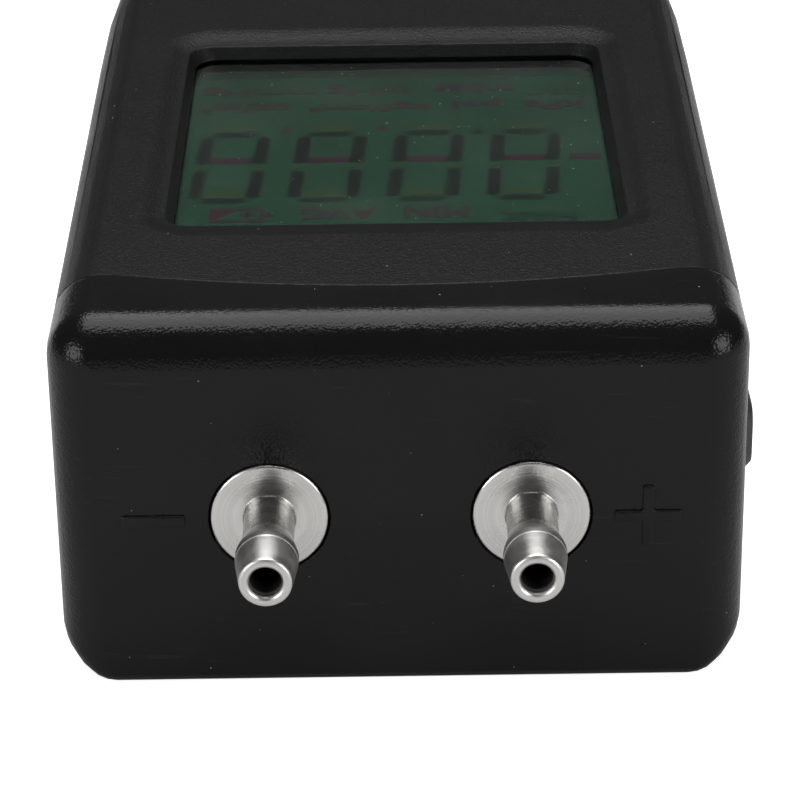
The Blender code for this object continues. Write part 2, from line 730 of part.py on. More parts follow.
def dish_cutter():
    """The dished surround and the drafted opening of the display window."""
    half_x = WINDOW_WIDTH / 2
    half_y = WINDOW_LENGTH / 2
    levels = []
    side = half_x + DISH_SIDE_MARGIN
    end = half_y + DISH_END_MARGIN
    levels.append((BODY_DEPTH + 1.0 * MM, side, end, DISH_CORNER_RADIUS))
    for i in range(DISH_STEPS + 1):
        t = i / DISH_STEPS
        depth = DISH_DEPTH * ease(t, 0.0, 1.0)
        corner = DISH_CORNER_RADIUS + (WINDOW_CORNER_RADIUS - DISH_CORNER_RADIUS) * t
        margins = (DISH_SIDE_MARGIN * (1.0 - t), DISH_END_MARGIN * (1.0 - t))
        levels.append((BODY_DEPTH - depth, half_x + margins[0], half_y + margins[1], corner))
    foot = (half_x - WINDOW_DRAFT, half_y - WINDOW_DRAFT, WINDOW_CORNER_RADIUS)
    levels.append((INNER_FRONT, *foot))
    levels.append((INNER_FRONT - 1.0 * MM, *foot))
    centre = (0.0, along(WINDOW_START + half_y), 0.0)
    return stacked("window_cutter", levels, centre, None, 6)


def build_front_cover():
    cover = outer_form("front_cover", HOUSING)
    reach = BODY_LENGTH
    floor = PARTING_HEIGHT + SEAM_GAP / 2
    boolean(cover, box("below_parting", (-reach, reach), (-reach, reach), (BELOW, floor)))
    groove = outer_lap("lap_groove", WALL / 2 - GAP / 2, LAP_HEIGHT + GAP)
    boolean(cover, groove)
    boolean(cover, flat_plate("front_before_seam", seam_outline(SEAM_GAP / 2, -reach), BELOW, ABOVE))
    boolean(cover, inner_form("front_cavity", WALL, END_WALL))
    boolean(cover, dish_cutter())
    root = INNER_FRONT + WALL / 2
    posts = []
    for i, (x, s) in enumerate(case_post_places()):
        radius = SCREW_RADIUS + GAP + POST_WALL
        posts.append(upright(f"front_case_post_{i}", radius, x, s, floor, root))
    for i, (x, s) in enumerate(board_post_places()):
        posts.append(upright(f"board_post_{i}", BOARD_POST_RADIUS, x, s, BOARD_TOP + GAP, root))
    for i, (x, s) in enumerate(key_post_places()):
        posts.append(upright(f"key_post_{i}", BOARD_POST_RADIUS, x, s, KEY_BOARD_TOP + GAP, root))
    boolean(cover, posts, "UNION")
    cuts = []
    bore = SCREW_RADIUS + GAP
    for i, (x, s) in enumerate(case_post_places()):
        depth = PARTING_HEIGHT + SCREW_ENGAGEMENT + 2 * GAP
        cuts.append(upright(f"front_case_bore_{i}", bore, x, s, BELOW, depth, segments=12))
    board_bore = BOARD_SCREW_RADIUS + GAP
    for i, (x, s) in enumerate(board_post_places()):
        depth = BOARD_BOTTOM + BOARD_SCREW_LENGTH + 2 * GAP
        cuts.append(upright(f"board_bore_{i}", board_bore, x, s, 0.0, depth, segments=12))
    for i, (x, s) in enumerate(key_post_places()):
        depth = KEY_BOARD_BOTTOM + BOARD_SCREW_LENGTH + 2 * GAP
        top = min(depth, INNER_FRONT)
        cuts.append(upright(f"key_bore_{i}", board_bore, x, s, 0.0, top, segments=12))
    half_x = KEY_WIDTH / 2 + GAP
    half_y = KEY_LENGTH / 2 + GAP
    corner = KEY_CORNER_RADIUS + GAP
    for name, x, s in key_places():
        levels = [(height, half_x, half_y, corner) for height in (INNER_FRONT - WALL, ABOVE)]
        cuts.append(stacked(f"{name}_aperture", levels, (x, along(s), 0.0)))
    boolean(cover, cuts)
    smooth(cover)


def outer_lap(name, inset, height):
    """The core of the housing from the rear up to just over the parting, inside half its wall."""
    core = housing_solid(
        name + "_core", inset, GAP, BODY_LENGTH - inset, END_RADII, FAR_RADII, LAP_STEPS
    )
    reach = BODY_LENGTH
    level = (PARTING_HEIGHT - SEAM_GAP / 2 - 1.0 * MM, PARTING_HEIGHT + height)
    slab = box(name, (-reach, reach), (-reach, reach), level)
    boolean(slab, core, "INTERSECT")
    return slab


def build_rear_cover():
    cover = outer_form("rear_cover", HOUSING)
    reach = BODY_LENGTH
    top = PARTING_HEIGHT - SEAM_GAP / 2
    boolean(cover, box("above_parting", (-reach, reach), (-reach, reach), (top, ABOVE)))
    boolean(cover, outer_lap("lap_tongue", WALL / 2 + GAP / 2, LAP_HEIGHT), "UNION")
    boolean(cover, flat_plate("rear_before_seam", seam_outline(SEAM_GAP / 2, -reach), BELOW, ABOVE))
    boolean(cover, inner_form("rear_cavity", WALL, END_WALL))
    root = WALL / 2
    bay_x = BATTERY_WIDTH / 2 + BAY_CLEARANCE
    bay_y = (along(BAY_START), along(BAY_END))
    posts = [
        box(
            "bay_block",
            (-bay_x - BAY_WALL, bay_x + BAY_WALL),
            (bay_y[0] - BAY_WALL, bay_y[1] + BAY_WALL),
            (root, BAY_TOP + BAY_CEILING),
        )
    ]
    for i, (x, s) in enumerate(case_post_places()):
        posts.append(upright(f"rear_case_post_{i}", REAR_POST_RADIUS, x, s, root, top))
    post_top = DOOR_THICKNESS + DOOR_SCREW_LENGTH + 2 * GAP
    door_screw_station = DOOR_START + DOOR_SCREW_LAND / 2
    posts.append(upright("door_post", DOOR_POST_RADIUS, 0.0, door_screw_station, root, post_top))
    boolean(cover, posts, "UNION")
    cuts = [box("bay", (-bay_x, bay_x), bay_y, (BELOW, BAY_TOP))]
    slot_x = LEAD_SPACING / 2 + LEAD_RADIUS + 2 * GAP
    slot_y = (bay_y[0] - BAY_WALL - MM, bay_y[0] + BAY_LEAD_SPACE)
    slot_z = (BATTERY_MIDDLE + SNAP_HEIGHT / 2 - LEAD_SLOT_HEIGHT, BAY_TOP + BAY_CEILING + MM)
    cuts.append(box("lead_slot", (-slot_x, slot_x), slot_y, slot_z))
    door_x, door_y = door_half_sizes()
    levels = [
        (height, door_x + GAP, door_y + GAP, DOOR_CORNER_RADIUS + GAP)
        for height in (BELOW, DOOR_THICKNESS + GAP)
    ]
    cuts.append(stacked("door_rebate", levels, (0.0, along(door_station()), 0.0)))
    tongue_x = DOOR_TONGUE_WIDTH / 2 + GAP
    tongue_y = (bay_y[1] - GAP, along(door_station()) + door_y + DOOR_TONGUE_REACH + GAP)
    tongue_z = (DOOR_THICKNESS, door_tongue_top() + GAP)
    cuts.append(box("tongue_pocket", (-tongue_x, tongue_x), tongue_y, tongue_z))
    for i, (x, s) in enumerate(case_post_places()):
        recess = SCREW_HEAD_RADIUS + GAP
        cuts.append(upright(f"recess_{i}", recess, x, s, BELOW, SCREW_RECESS_DEPTH, segments=16))
        cuts.append(upright(f"rear_bore_{i}", SCREW_RADIUS + GAP, x, s, BELOW, ABOVE, segments=12))
    screw_bore = SCREW_RADIUS + GAP
    cuts.append(
        upright("door_screw_bore", screw_bore, 0.0, door_screw_station, BELOW, post_top, segments=12)
    )
    plug = (half_width(JACK_STATION), along(JACK_STATION), JACK_LEVEL)
    aperture = JACK_MOUTH_RADIUS + JACK_APERTURE_MARGIN
    cuts.append(cylinder("jack_aperture", aperture, plug, 4 * WALL, None, "X"))
    boolean(cover, cuts)
    smooth(cover)


# Battery door


def door_half_sizes():
    """Half the door's width and length: the bay's opening and a lap all round, with a land for the screw."""
    door_x = BATTERY_WIDTH / 2 + BAY_CLEARANCE + DOOR_LAP
    door_y = (BAY_END + DOOR_LAP - DOOR_START) / 2
    return door_x, door_y


def door_station():
    return (DOOR_START + BAY_END + DOOR_LAP) / 2


def door_tongue_top():
    return DOOR_THICKNESS + DOOR_TONGUE_THICKNESS


def build_battery_door():
    """A flat door flush with the rear face, hooked in by a tongue and held by one screw."""
    door_x, door_y = door_half_sizes()
    centre = (0.0, along(door_station()), 0.0)
    levels = [(height, door_x, door_y, DOOR_CORNER_RADIUS) for height in (0.0, DOOR_THICKNESS)]
    door = stacked("battery_door", levels, centre, KEY_PLASTIC)
    tongue = box(
        "door_tongue",
        (-DOOR_TONGUE_WIDTH / 2, DOOR_TONGUE_WIDTH / 2),
        (along(BAY_END), centre[1] + door_y + DOOR_TONGUE_REACH),
        (DOOR_THICKNESS / 2, door_tongue_top()),
    )
    under = box(
        "tongue_undercut",
        (-DOOR_TONGUE_WIDTH, DOOR_TONGUE_WIDTH),
        (centre[1] + door_y, centre[1] + door_y + 2 * DOOR_TONGUE_REACH),
        (BELOW, DOOR_THICKNESS + GAP),
    )
    boolean(door, tongue, "UNION")
    boolean(door, under)
    station = DOOR_START + DOOR_SCREW_LAND / 2
    hole = SCREW_RADIUS + GAP
    sink = SCREW_HEAD_RADIUS + GAP
    levels = ((-GAP, sink + GAP), (DOOR_THICKNESS / 2, sink))
    boolean(
        door,
        [
            upright("door_screw_hole", hole, 0.0, station, BELOW, ABOVE, segments=16),
            upright("door_screw_sink", levels[1][1], 0.0, station, BELOW, levels[1][0], segments=16),
        ],
    )
    profile = [
        (0.0, DOOR_SCREW_LENGTH),
        (SCREW_RADIUS, DOOR_SCREW_LENGTH),
        (SCREW_RADIUS, DOOR_THICKNESS / 2 - GAP),
        (SCREW_HEAD_RADIUS, DOOR_THICKNESS / 2 - GAP),
        (SCREW_HEAD_RADIUS, DOOR_SCREW_SET),
        (0.0, DOOR_SCREW_SET),
    ]
    turned("door_screw", profile, (0.0, along(station), 0.0), (0, 0, 0), STEEL, False, 16)


# Display


def build_display():
    station = (WINDOW_START + WINDOW_END) / 2
    half_x = WINDOW_WIDTH / 2 + LENS_MARGIN
    half_y = WINDOW_LENGTH / 2 + LENS_MARGIN
    corner = WINDOW_CORNER_RADIUS
    levels = [(level, half_x, half_y, corner) for level in (LENS_TOP - LENS_THICKNESS, LENS_TOP)]
    stacked("display_lens", levels, (0.0, along(station), 0.0), LENS)

    lcd_x = (-LCD_HALF_WIDTH, LCD_HALF_WIDTH)
    lcd_y = (along(LCD_START), along(LCD_END))
    box("lcd_panel", lcd_x, lcd_y, (LCD_TOP - LCD_THICKNESS, LCD_TOP), GLASS, 0.2 * MM, 1)

    zebra_y = (lcd_y[1] - ZEBRA_WIDTH, lcd_y[1])
    light_y = (lcd_y[0], zebra_y[0] - GAP)
    light_z = (BACKLIGHT_TOP - BACKLIGHT_THICKNESS, BACKLIGHT_TOP)
    box("backlight_panel", lcd_x, light_y, light_z, LIGHT_GUIDE, 0.4 * MM, 1)
    zebra_x = LCD_HALF_WIDTH - ZEBRA_INSET
    box(
        "zebra_strip",
        (-zebra_x, zebra_x),
        zebra_y,
        (BOARD_TOP + GAP, BACKLIGHT_TOP),
        SILICONE,
    )

    frame_x = (-FRAME_HALF_WIDTH, FRAME_HALF_WIDTH)
    frame_y = (along(FRAME_START), along(FRAME_END))
    frame = box("lcd_frame", frame_x, frame_y, (FRAME_BOTTOM, LCD_TOP), FRAME)
    pocket_x = LCD_HALF_WIDTH + GAP
    pocket = box(
        "lcd_pocket", (-pocket_x, pocket_x), (lcd_y[0] - GAP, lcd_y[1] + GAP), (LEDGE_TOP, ABOVE)
    )
    inner_x = LCD_HALF_WIDTH - FRAME_LEDGE_WIDTH
    well = box(
        "frame_well", (-inner_x, inner_x), (lcd_y[0] + FRAME_LEDGE_WIDTH, lcd_y[1] + GAP), (BELOW, ABOVE)
    )
    boolean(frame, [pocket, well])


# Boards and what they carry


def board_screw(name, x, station, board_bottom):
    """A small pan-head screw driven up through a board into a post."""
    head = board_bottom - GAP
    profile = [
        (0.0, board_bottom + BOARD_SCREW_LENGTH),
        (BOARD_SCREW_RADIUS, board_bottom + BOARD_SCREW_LENGTH),
        (BOARD_SCREW_RADIUS, head),
        (BOARD_SCREW_HEAD_RADIUS, head),
        (BOARD_SCREW_HEAD_RADIUS, head - BOARD_SCREW_HEAD_HEIGHT * 0.6),
        (BOARD_SCREW_HEAD_RADIUS * 0.8, head - BOARD_SCREW_HEAD_HEIGHT),
        (0.0, head - BOARD_SCREW_HEAD_HEIGHT),
    ]
    turned(name, profile, (x, along(station), 0.0), (0, 0, 0), STEEL, False, 12)


def build_boards():
    half = BOARD_HALF_WIDTH
    neck = BOARD_NECK_WIDTH / 2
    shoulder = along(BOARD_NECK_STATION)
    outline = [
        (-half, along(BOARD_START)),
        (half, along(BOARD_START)),
        (half, shoulder),
        (neck, shoulder),
        (neck, along(BOARD_END)),
        (-neck, along(BOARD_END)),
        (-neck, shoulder),
        (-half, shoulder),
    ]
    board = flat_plate("main_board", outline, BOARD_BOTTOM, BOARD_TOP, LAMINATE)
    hole = BOARD_SCREW_RADIUS + GAP
    holes = []
    for i, (x, s) in enumerate(board_post_places()):
        holes.append(upright(f"board_hole_{i}", hole, x, s, BELOW, ABOVE, segments=12))
        board_screw(f"board_screw_{i + 1}", x, s, BOARD_BOTTOM)
    boolean(board, holes)

    half = KEY_BOARD_WIDTH / 2
    board = box(
        "key_board",
        (-half, half),
        (along(KEY_BOARD_START), along(KEY_BOARD_END)),
        (KEY_BOARD_BOTTOM, KEY_BOARD_TOP),
        LAMINATE,
    )
    holes = []
    for i, (x, s) in enumerate(key_post_places()):
        holes.append(upright(f"key_board_hole_{i}", hole, x, s, BELOW, ABOVE, segments=12))
        board_screw(f"key_board_screw_{i + 1}", x, s, KEY_BOARD_BOTTOM)
    boolean(board, holes)

    header_y = along(BOARD_END - BOARD_OVERLAP / 2)
    box(
        "board_header",
        (-HEADER_WIDTH / 2, HEADER_WIDTH / 2),
        (header_y - HEADER_DEPTH / 2, header_y + HEADER_DEPTH / 2),
        (BOARD_TOP + GAP, KEY_BOARD_BOTTOM - GAP),
        EPOXY,
    )


def build_board_parts():
    """The chips, the crystal, the capacitor and the buzzer, which hang under the main board."""
    station = SENSOR_STATION + SENSOR_LENGTH + CHIP_SPACING

    def chip(name, x, s, width, length, thickness, material, edge=0.0):
        place = along(s)
        x_span = (x - width / 2, x + width / 2)
        y_span = (place - length / 2, place + length / 2)
        box(name, x_span, y_span, (UNDER_BOARD - thickness, UNDER_BOARD), material, edge)

    amplifier = (AMPLIFIER_WIDTH, AMPLIFIER_LENGTH, PROCESSOR_THICKNESS)
    chip("amplifier_chip", 0.0, station - CHIP_SPACING / 3, *amplifier, EPOXY)
    processor = (PROCESSOR_SIZE, PROCESSOR_SIZE, PROCESSOR_THICKNESS)
    chip("processor_chip", -CHIP_SPACING, station + CHIP_SPACING / 2, *processor, EPOXY)
    crystal = (CRYSTAL_LENGTH, CRYSTAL_WIDTH, CRYSTAL_HEIGHT)
    chip("crystal_can", CHIP_SPACING / 2, station + CHIP_SPACING / 2, *crystal, TIN, 1.2 * MM)
    upright(
        "filter_capacitor",
        CAPACITOR_RADIUS,
        BOARD_HALF_WIDTH - CAPACITOR_INSET,
        station,
        UNDER_BOARD - CAPACITOR_HEIGHT,
        UNDER_BOARD,
        SLEEVE,
        edge=0.5 * MM,
    )
    buzzer = upright(
        "buzzer",
        BUZZER_RADIUS,
        0.0,
        station + 2 * CHIP_SPACING,
        UNDER_BOARD - BUZZER_HEIGHT,
        UNDER_BOARD,
        EPOXY,
        24,
    )
    sound_hole = upright(
        "sound_hole",
        BUZZER_HOLE_RADIUS,
        0.0,
        station + 2 * CHIP_SPACING,
        UNDER_BOARD - 1.5 * BUZZER_HEIGHT,
        UNDER_BOARD - BUZZER_HEIGHT / 2,
        segments=12,
    )
    boolean(buzzer, sound_hole)


# Keys


def key_levels():
    """A keycap's levels about its own origin, which is on the housing's front face."""
    flange_top = KEY_FLANGE_TOP - BODY_DEPTH
    flange_bottom = flange_top - KEY_FLANGE_THICKNESS
    bottom = KEY_BOTTOM - BODY_DEPTH
    half_x = KEY_WIDTH / 2
    half_y = KEY_LENGTH / 2
    corner = KEY_CORNER_RADIUS
    stem = KEY_STEM_RADIUS
    wide = KEY_FLANGE
    levels = [
        (bottom, stem, stem, stem),
        (flange_bottom, stem, stem, stem),
        (flange_bottom, half_x + wide, half_y + wide, corner + wide),
        (flange_top, half_x + wide, half_y + wide, corner + wide),
        (flange_top, half_x, half_y, corner),
        (KEY_PROUD - KEY_EDGE_RADIUS, half_x, half_y, corner),
    ]
    for angle in (30.0, 60.0, 90.0):
        drawn = KEY_EDGE_RADIUS * (1.0 - math.cos(math.radians(angle)))
        height = KEY_PROUD - KEY_EDGE_RADIUS * (1.0 - math.sin(math.radians(angle)))
        levels.append((height, half_x - drawn, half_y - drawn, corner - drawn))
    dish = KEY_EDGE_RADIUS * 0.4
    levels.append((KEY_PROUD - dish, stem, stem, stem))
    return levels


def build_keys():
    for name, x, s in key_places():
        stacked(name, key_levels(), (x, along(s), BODY_DEPTH), KEY_PLASTIC, 3)

    half_x = KEY_COLUMN_SPACING / 2 + KEY_WIDTH / 2 + MAT_MARGIN
    low = FIRST_KEY_STATION - KEY_LENGTH / 2 - MAT_MARGIN
    high = LAST_KEY_STATION + KEY_LENGTH / 2 + MAT_MARGIN
    levels = (MAT_TOP - MAT_THICKNESS, MAT_TOP)
    mat = box("keypad_mat", (-half_x, half_x), (along(low), along(high)), levels, SILICONE)
    holes = []
    for i, (x, s) in enumerate(key_post_places()):
        radius = BOARD_POST_RADIUS + GAP
        holes.append(upright(f"mat_hole_{i}", radius, x, s, BELOW, ABOVE, segments=16))
    boolean(mat, holes)


# Ports, hoses and sensor


def build_ports():
    """The turned hose fittings with their seals and nuts."""
    flange_back = FLANGE_PROUD - FLANGE_THICKNESS
    shank_end = -SHANK_END
    spigot_end = shank_end - SPIGOT_LENGTH
    crest = NECK_LENGTH + BARB_RISE
    tip = crest + TIP_TAPER
    chamfer = FLANGE_CHAMFER
    profile = [(PORT_BORE_RADIUS, tip - chamfer / 2), (PORT_BORE_RADIUS + chamfer / 2, tip)]
    profile += reversed(arc(TIP_RADIUS - TIP_ROUND, tip - TIP_ROUND, TIP_ROUND, 0, 90, 3))
    profile += [
        (BARB_RADIUS, crest + BARB_LAND),
        (BARB_RADIUS, crest),
        (NECK_RADIUS, NECK_LENGTH),
        (NECK_RADIUS, FLANGE_PROUD),
        (FLANGE_RADIUS - chamfer, FLANGE_PROUD),
        (FLANGE_RADIUS, FLANGE_PROUD - chamfer),
        (FLANGE_RADIUS, flange_back),
        (SHANK_RADIUS, flange_back),
        (SHANK_RADIUS, shank_end),
        (SPIGOT_RADIUS, shank_end),
        (SPIGOT_RADIUS, spigot_end),
        (SPIGOT_BORE_RADIUS, spigot_end),
        (SPIGOT_BORE_RADIUS, flange_back),
        (PORT_BORE_RADIUS, flange_back + (PORT_BORE_RADIUS - SPIGOT_BORE_RADIUS)),
    ]
    outwards = (math.pi / 2, 0, 0)
    for side, x in port_places():
        place = (x, along(0.0), PORT_HEIGHT)
        turned(f"{side}_fitting", profile, place, outwards, NICKEL)
        seal_y = along(-flange_back + GAP + SEAL_THICKNESS / 2)
        seal = cylinder(
            f"{side}_fitting_seal",
            FLANGE_RADIUS - GAP,
            (x, seal_y, PORT_HEIGHT),
            SEAL_THICKNESS,
            RUBBER,
            "Y",
        )
        nut_y = along(END_WALL + GAP + NUT_THICKNESS / 2)
        corner_radius = NUT_ACROSS_FLATS / math.sqrt(3.0)
        nut_place = (x, nut_y, PORT_HEIGHT)
        nut = cylinder(f"{side}_fitting_nut", corner_radius, nut_place, NUT_THICKNESS, NICKEL, "Y", 6)
        through = cylinder(
            f"{side}_shank_space", SHANK_RADIUS + GAP, place, 6 * END_WALL, None, "Y", 16
        )
        boolean(seal, through)
        boolean(nut, through)


def build_sensor():
    """The sensor under the main board, its two ports joined to the fittings by short hoses."""
    low = PORT_HEIGHT - SENSOR_DEPTH_BELOW_PORTS
    sensor = box(
        "pressure_sensor",
        (-SENSOR_WIDTH / 2, SENSOR_WIDTH / 2),
        (along(SENSOR_STATION), along(SENSOR_STATION + SENSOR_LENGTH)),
        (low, UNDER_BOARD),
        SENSOR,
        0.6 * MM,
        1,
    )
    face = SENSOR_STATION
    ports = []
    for side, fitting_x in port_places():
        sign = math.copysign(1.0, fitting_x)
        x = sign * SENSOR_PORT_SPACING / 2
        centre = (x, along(face - SENSOR_PORT_LENGTH / 2), PORT_HEIGHT)
        reach = SENSOR_PORT_LENGTH + 2 * MM
        ports.append(
            cylinder(f"{side}_sensor_port", SPIGOT_RADIUS, centre, reach, None, "Y", 12)
        )
        start = (fitting_x, along(SHANK_END + GAP), PORT_HEIGHT)
        over_spigot = (fitting_x, along(SHANK_END + SPIGOT_LENGTH), PORT_HEIGHT)
        over_port = (x, along(face - SENSOR_PORT_LENGTH - HOSE_END), PORT_HEIGHT)
        end = (x, along(face - GAP), PORT_HEIGHT)
        reach = (over_port[1] - over_spigot[1]) / 2
        bend = bezier(over_spigot, (0, reach, 0), (0, -reach, 0), over_port, HOSE_STEPS)
        route = [Vector(start), *bend, Vector(end)]
        bore = SPIGOT_RADIUS + GAP
        hose = tube(f"{side}_sensor_hose", route, bore + HOSE_WALL, CLEAR_SILICONE)
        beyond = Vector((0.0, 2 * MM, 0.0))
        core = [Vector(start) - beyond, *bend, Vector(end) + beyond]
        boolean(hose, tube(f"{side}_hose_bore", core, bore))
        smooth(hose, 50.0)
    boolean(sensor, ports, "UNION")


# Battery


def build_battery():
    half_x = BATTERY_WIDTH / 2
    y = (along(BATTERY_START), along(BATTERY_START + BATTERY_LENGTH))
    levels = (BATTERY_BOTTOM, BATTERY_TOP)
    battery = box("battery", (-half_x, half_x), y, levels, WRAP, BATTERY_EDGE_RADIUS)
    terminals = []
    for i, sign in enumerate((-1.0, 1.0)):
        centre = (sign * BATTERY_TERMINAL_SPACING / 2, y[0], BATTERY_MIDDLE)
        reach = 2 * BATTERY_TERMINAL_LENGTH
        radius = BATTERY_TERMINAL_RADIUS
        terminals.append(cylinder(f"terminal_{i}", radius, centre, reach, None, "Y", 12))
    boolean(battery, terminals, "UNION")
    box(
        "battery_foam",
        (-half_x, half_x),
        y,
        (BATTERY_TOP + GAP, BATTERY_TOP + GAP + FOAM_THICKNESS),
        FOAM,
    )
    snap_y = (along(SNAP_START), along(SNAP_START + SNAP_THICKNESS))
    snap_z = (BATTERY_MIDDLE - SNAP_HEIGHT / 2, BATTERY_MIDDLE + SNAP_HEIGHT / 2)
    box("battery_snap", (-SNAP_WIDTH / 2, SNAP_WIDTH / 2), snap_y, snap_z, RUBBER, 1.0 * MM)
    wires = (("plus", LEAD_SPACING / 2, RED_WIRE), ("minus", -LEAD_SPACING / 2, BLACK_WIRE))
    for side, x, material in wires:
        start = (x, snap_y[0] - GAP, BATTERY_MIDDLE + SNAP_HEIGHT / 4)
        end = (x, along(DOOR_START + DOOR_SCREW_LAND / 2), UNDER_BOARD)
        out = (0.0, -BAY_WALL - BAY_LEAD_SPACE, 0.0)
        down = (0.0, 0.0, -SNAP_HEIGHT / 3)
        tube(f"battery_lead_{side}", bezier(start, out, down, end, LEAD_STEPS), LEAD_RADIUS, material, 1)


# Screws


def case_screw_profile():
    """A pan-head screw, pointing up from its head."""
    length = PARTING_HEIGHT + SCREW_ENGAGEMENT - SCREW_RECESS_DEPTH
    profile = [
        (0.0, length),
        (SCREW_RADIUS * 0.4, length),
        (SCREW_RADIUS, length - SCREW_RADIUS),
        (SCREW_RADIUS, 0.0),
        (SCREW_HEAD_RADIUS, 0.0),
        (SCREW_HEAD_RADIUS, -SCREW_HEAD_HEIGHT * 0.5),
        (SCREW_HEAD_RADIUS * 0.75, -SCREW_HEAD_HEIGHT),
        (0.0, -SCREW_HEAD_HEIGHT),
    ]
    return profile


def build_case_screws():
    """The four housing screws, each with a driver slot across its head."""
    for i, (x, s) in enumerate(case_post_places()):
        name = f"case_screw_{i + 1}"
        place = (x, along(s), SCREW_RECESS_DEPTH - GAP)
        screw = turned(name, case_screw_profile(), place, (0, 0, 0), STEEL, False, 16)
        low = place[2] - SCREW_HEAD_HEIGHT - GAP
        half = SCREW_SLOT_WIDTH / 2
        reach = 2 * SCREW_HEAD_RADIUS
        level = (low, low + SCREW_HEAD_HEIGHT * 0.5 + GAP)
        slot = box(f"driver_slot_{i}", (x - half, x + half), (place[1] - reach, place[1] + reach), level)
        boolean(screw, slot)


# Side jack


def build_side_jack():
    """The power jack under the main board, and the rubber plug that covers it outside."""
    wall = half_width(JACK_STATION)
    face = wall - WALL - GAP
    y = along(JACK_STATION)
    level = (UNDER_BOARD - JACK_HEIGHT, UNDER_BOARD)
    span = (y - JACK_WIDTH / 2, y + JACK_WIDTH / 2)
    jack = box("side_jack", (face - JACK_LENGTH, face), span, level, EPOXY)
    mouth = (face, y, JACK_LEVEL)
    boolean(jack, cylinder("jack_mouth", JACK_MOUTH_RADIUS, mouth, 2 * JACK_MOUTH_DEPTH, None, "X", 20))
    pin = (face - JACK_MOUTH_DEPTH * 0.75, y, JACK_LEVEL)
    boolean(
        jack, cylinder("jack_pin", JACK_PIN_RADIUS, pin, JACK_MOUTH_DEPTH, None, "X", 12), "UNION"
    )
    half_y = JACK_COVER_LENGTH / 2
    half_z = JACK_COVER_HEIGHT / 2
    corner = JACK_COVER_HEIGHT * 0.3
    base = GAP
    soft = JACK_COVER_PROUD * 0.35
    plug_radius = JACK_MOUTH_RADIUS - GAP
    plug = -WALL - 2 * GAP - JACK_PLUG_LENGTH
    levels = [
        (plug, plug_radius, plug_radius, plug_radius),
        (base, plug_radius, plug_radius, plug_radius),
        (base, half_z, half_y, corner),
        (JACK_COVER_PROUD - soft, half_z, half_y, corner),
        (JACK_COVER_PROUD, half_z - soft, half_y - soft, corner - soft),
    ]
    cover = stacked("jack_cover", levels, (wall, y, JACK_LEVEL), RUBBER)
    cover.rotation_euler = (0.0, math.pi / 2, 0.0)


build_boards()
build_board_parts()
build_ports()
build_sensor()
build_battery()
build_display()
build_keys()
build_side_jack()
build_case_screws()
build_battery_door()
build_port_cap()
build_front_cover()
build_rear_cover()
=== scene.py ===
"""Looks of a handheld digital manometer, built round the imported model.

Lengths are written in millimetres and turned into metres where a mesh is made.
"Station" is the distance from the port face along the case.
"""

import json
import math
import string

import bmesh
import bpy
from mathutils import Matrix, Vector

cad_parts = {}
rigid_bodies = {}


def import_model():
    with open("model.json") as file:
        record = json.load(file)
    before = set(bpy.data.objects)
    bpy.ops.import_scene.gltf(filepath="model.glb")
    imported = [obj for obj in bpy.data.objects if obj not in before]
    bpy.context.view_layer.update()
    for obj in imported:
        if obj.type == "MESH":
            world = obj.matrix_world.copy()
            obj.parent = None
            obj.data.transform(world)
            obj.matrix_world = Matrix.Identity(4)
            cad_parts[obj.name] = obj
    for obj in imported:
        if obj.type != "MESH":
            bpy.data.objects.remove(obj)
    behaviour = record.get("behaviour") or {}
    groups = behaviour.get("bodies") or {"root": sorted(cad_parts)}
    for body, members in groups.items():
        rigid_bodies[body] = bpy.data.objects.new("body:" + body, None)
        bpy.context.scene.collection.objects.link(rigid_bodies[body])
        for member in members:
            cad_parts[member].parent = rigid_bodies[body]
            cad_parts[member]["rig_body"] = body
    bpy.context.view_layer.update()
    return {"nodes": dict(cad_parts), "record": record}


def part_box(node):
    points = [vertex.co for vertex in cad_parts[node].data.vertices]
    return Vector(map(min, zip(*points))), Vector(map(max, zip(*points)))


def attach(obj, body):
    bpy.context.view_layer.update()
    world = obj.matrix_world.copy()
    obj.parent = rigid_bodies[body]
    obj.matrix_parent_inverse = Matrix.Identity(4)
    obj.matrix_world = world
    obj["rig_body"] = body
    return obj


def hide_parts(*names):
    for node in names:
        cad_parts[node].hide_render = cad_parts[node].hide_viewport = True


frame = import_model()
nodes = frame["nodes"]

# ---------------------------------------------------------------- places

MM = 0.001
HALF_LENGTH = 96.8
LCD_TOP = 38.5
PORT_SPACING = 28.2
PORT_HEIGHT = 20.4


# ---------------------------------------------------------------- small tools


def place(x, station, z):
    """A point in metres from its side, station and height."""
    return Vector((x, station - HALF_LENGTH, z)) * MM


def node(tree, kind, inputs=None, **settings):
    """One shader node, with its settings, plain values and incoming links."""
    made = tree.nodes.new(kind)
    for key, value in settings.items():
        setattr(made, key, value)
    for key, value in (inputs or {}).items():
        socket = made.inputs[key]
        if isinstance(value, bpy.types.NodeSocket):
            tree.links.new(value, socket)
        else:
            socket.default_value = value
    return made


def calc(tree, operation, *values, clamp=False):
    """The outcome of a Math node."""
    made = node(tree, "ShaderNodeMath", dict(enumerate(values)), operation=operation)
    made.use_clamp = clamp
    return made.outputs[0]


def blended(tree, *parts):
    """The sum of two values, each times its share."""
    first, second = (calc(tree, "MULTIPLY", value, share) for value, share in parts)
    return calc(tree, "ADD", first, second)


def span(tree, value, low, high, to_low=0.0, to_high=1.0):
    """A value moved from one range to another, smoothly and clamped."""
    ends = {"Value": value, "From Min": low, "From Max": high, "To Min": to_low, "To Max": to_high}
    made = node(tree, "ShaderNodeMapRange", ends, interpolation_type="SMOOTHSTEP")
    return made.outputs["Result"]


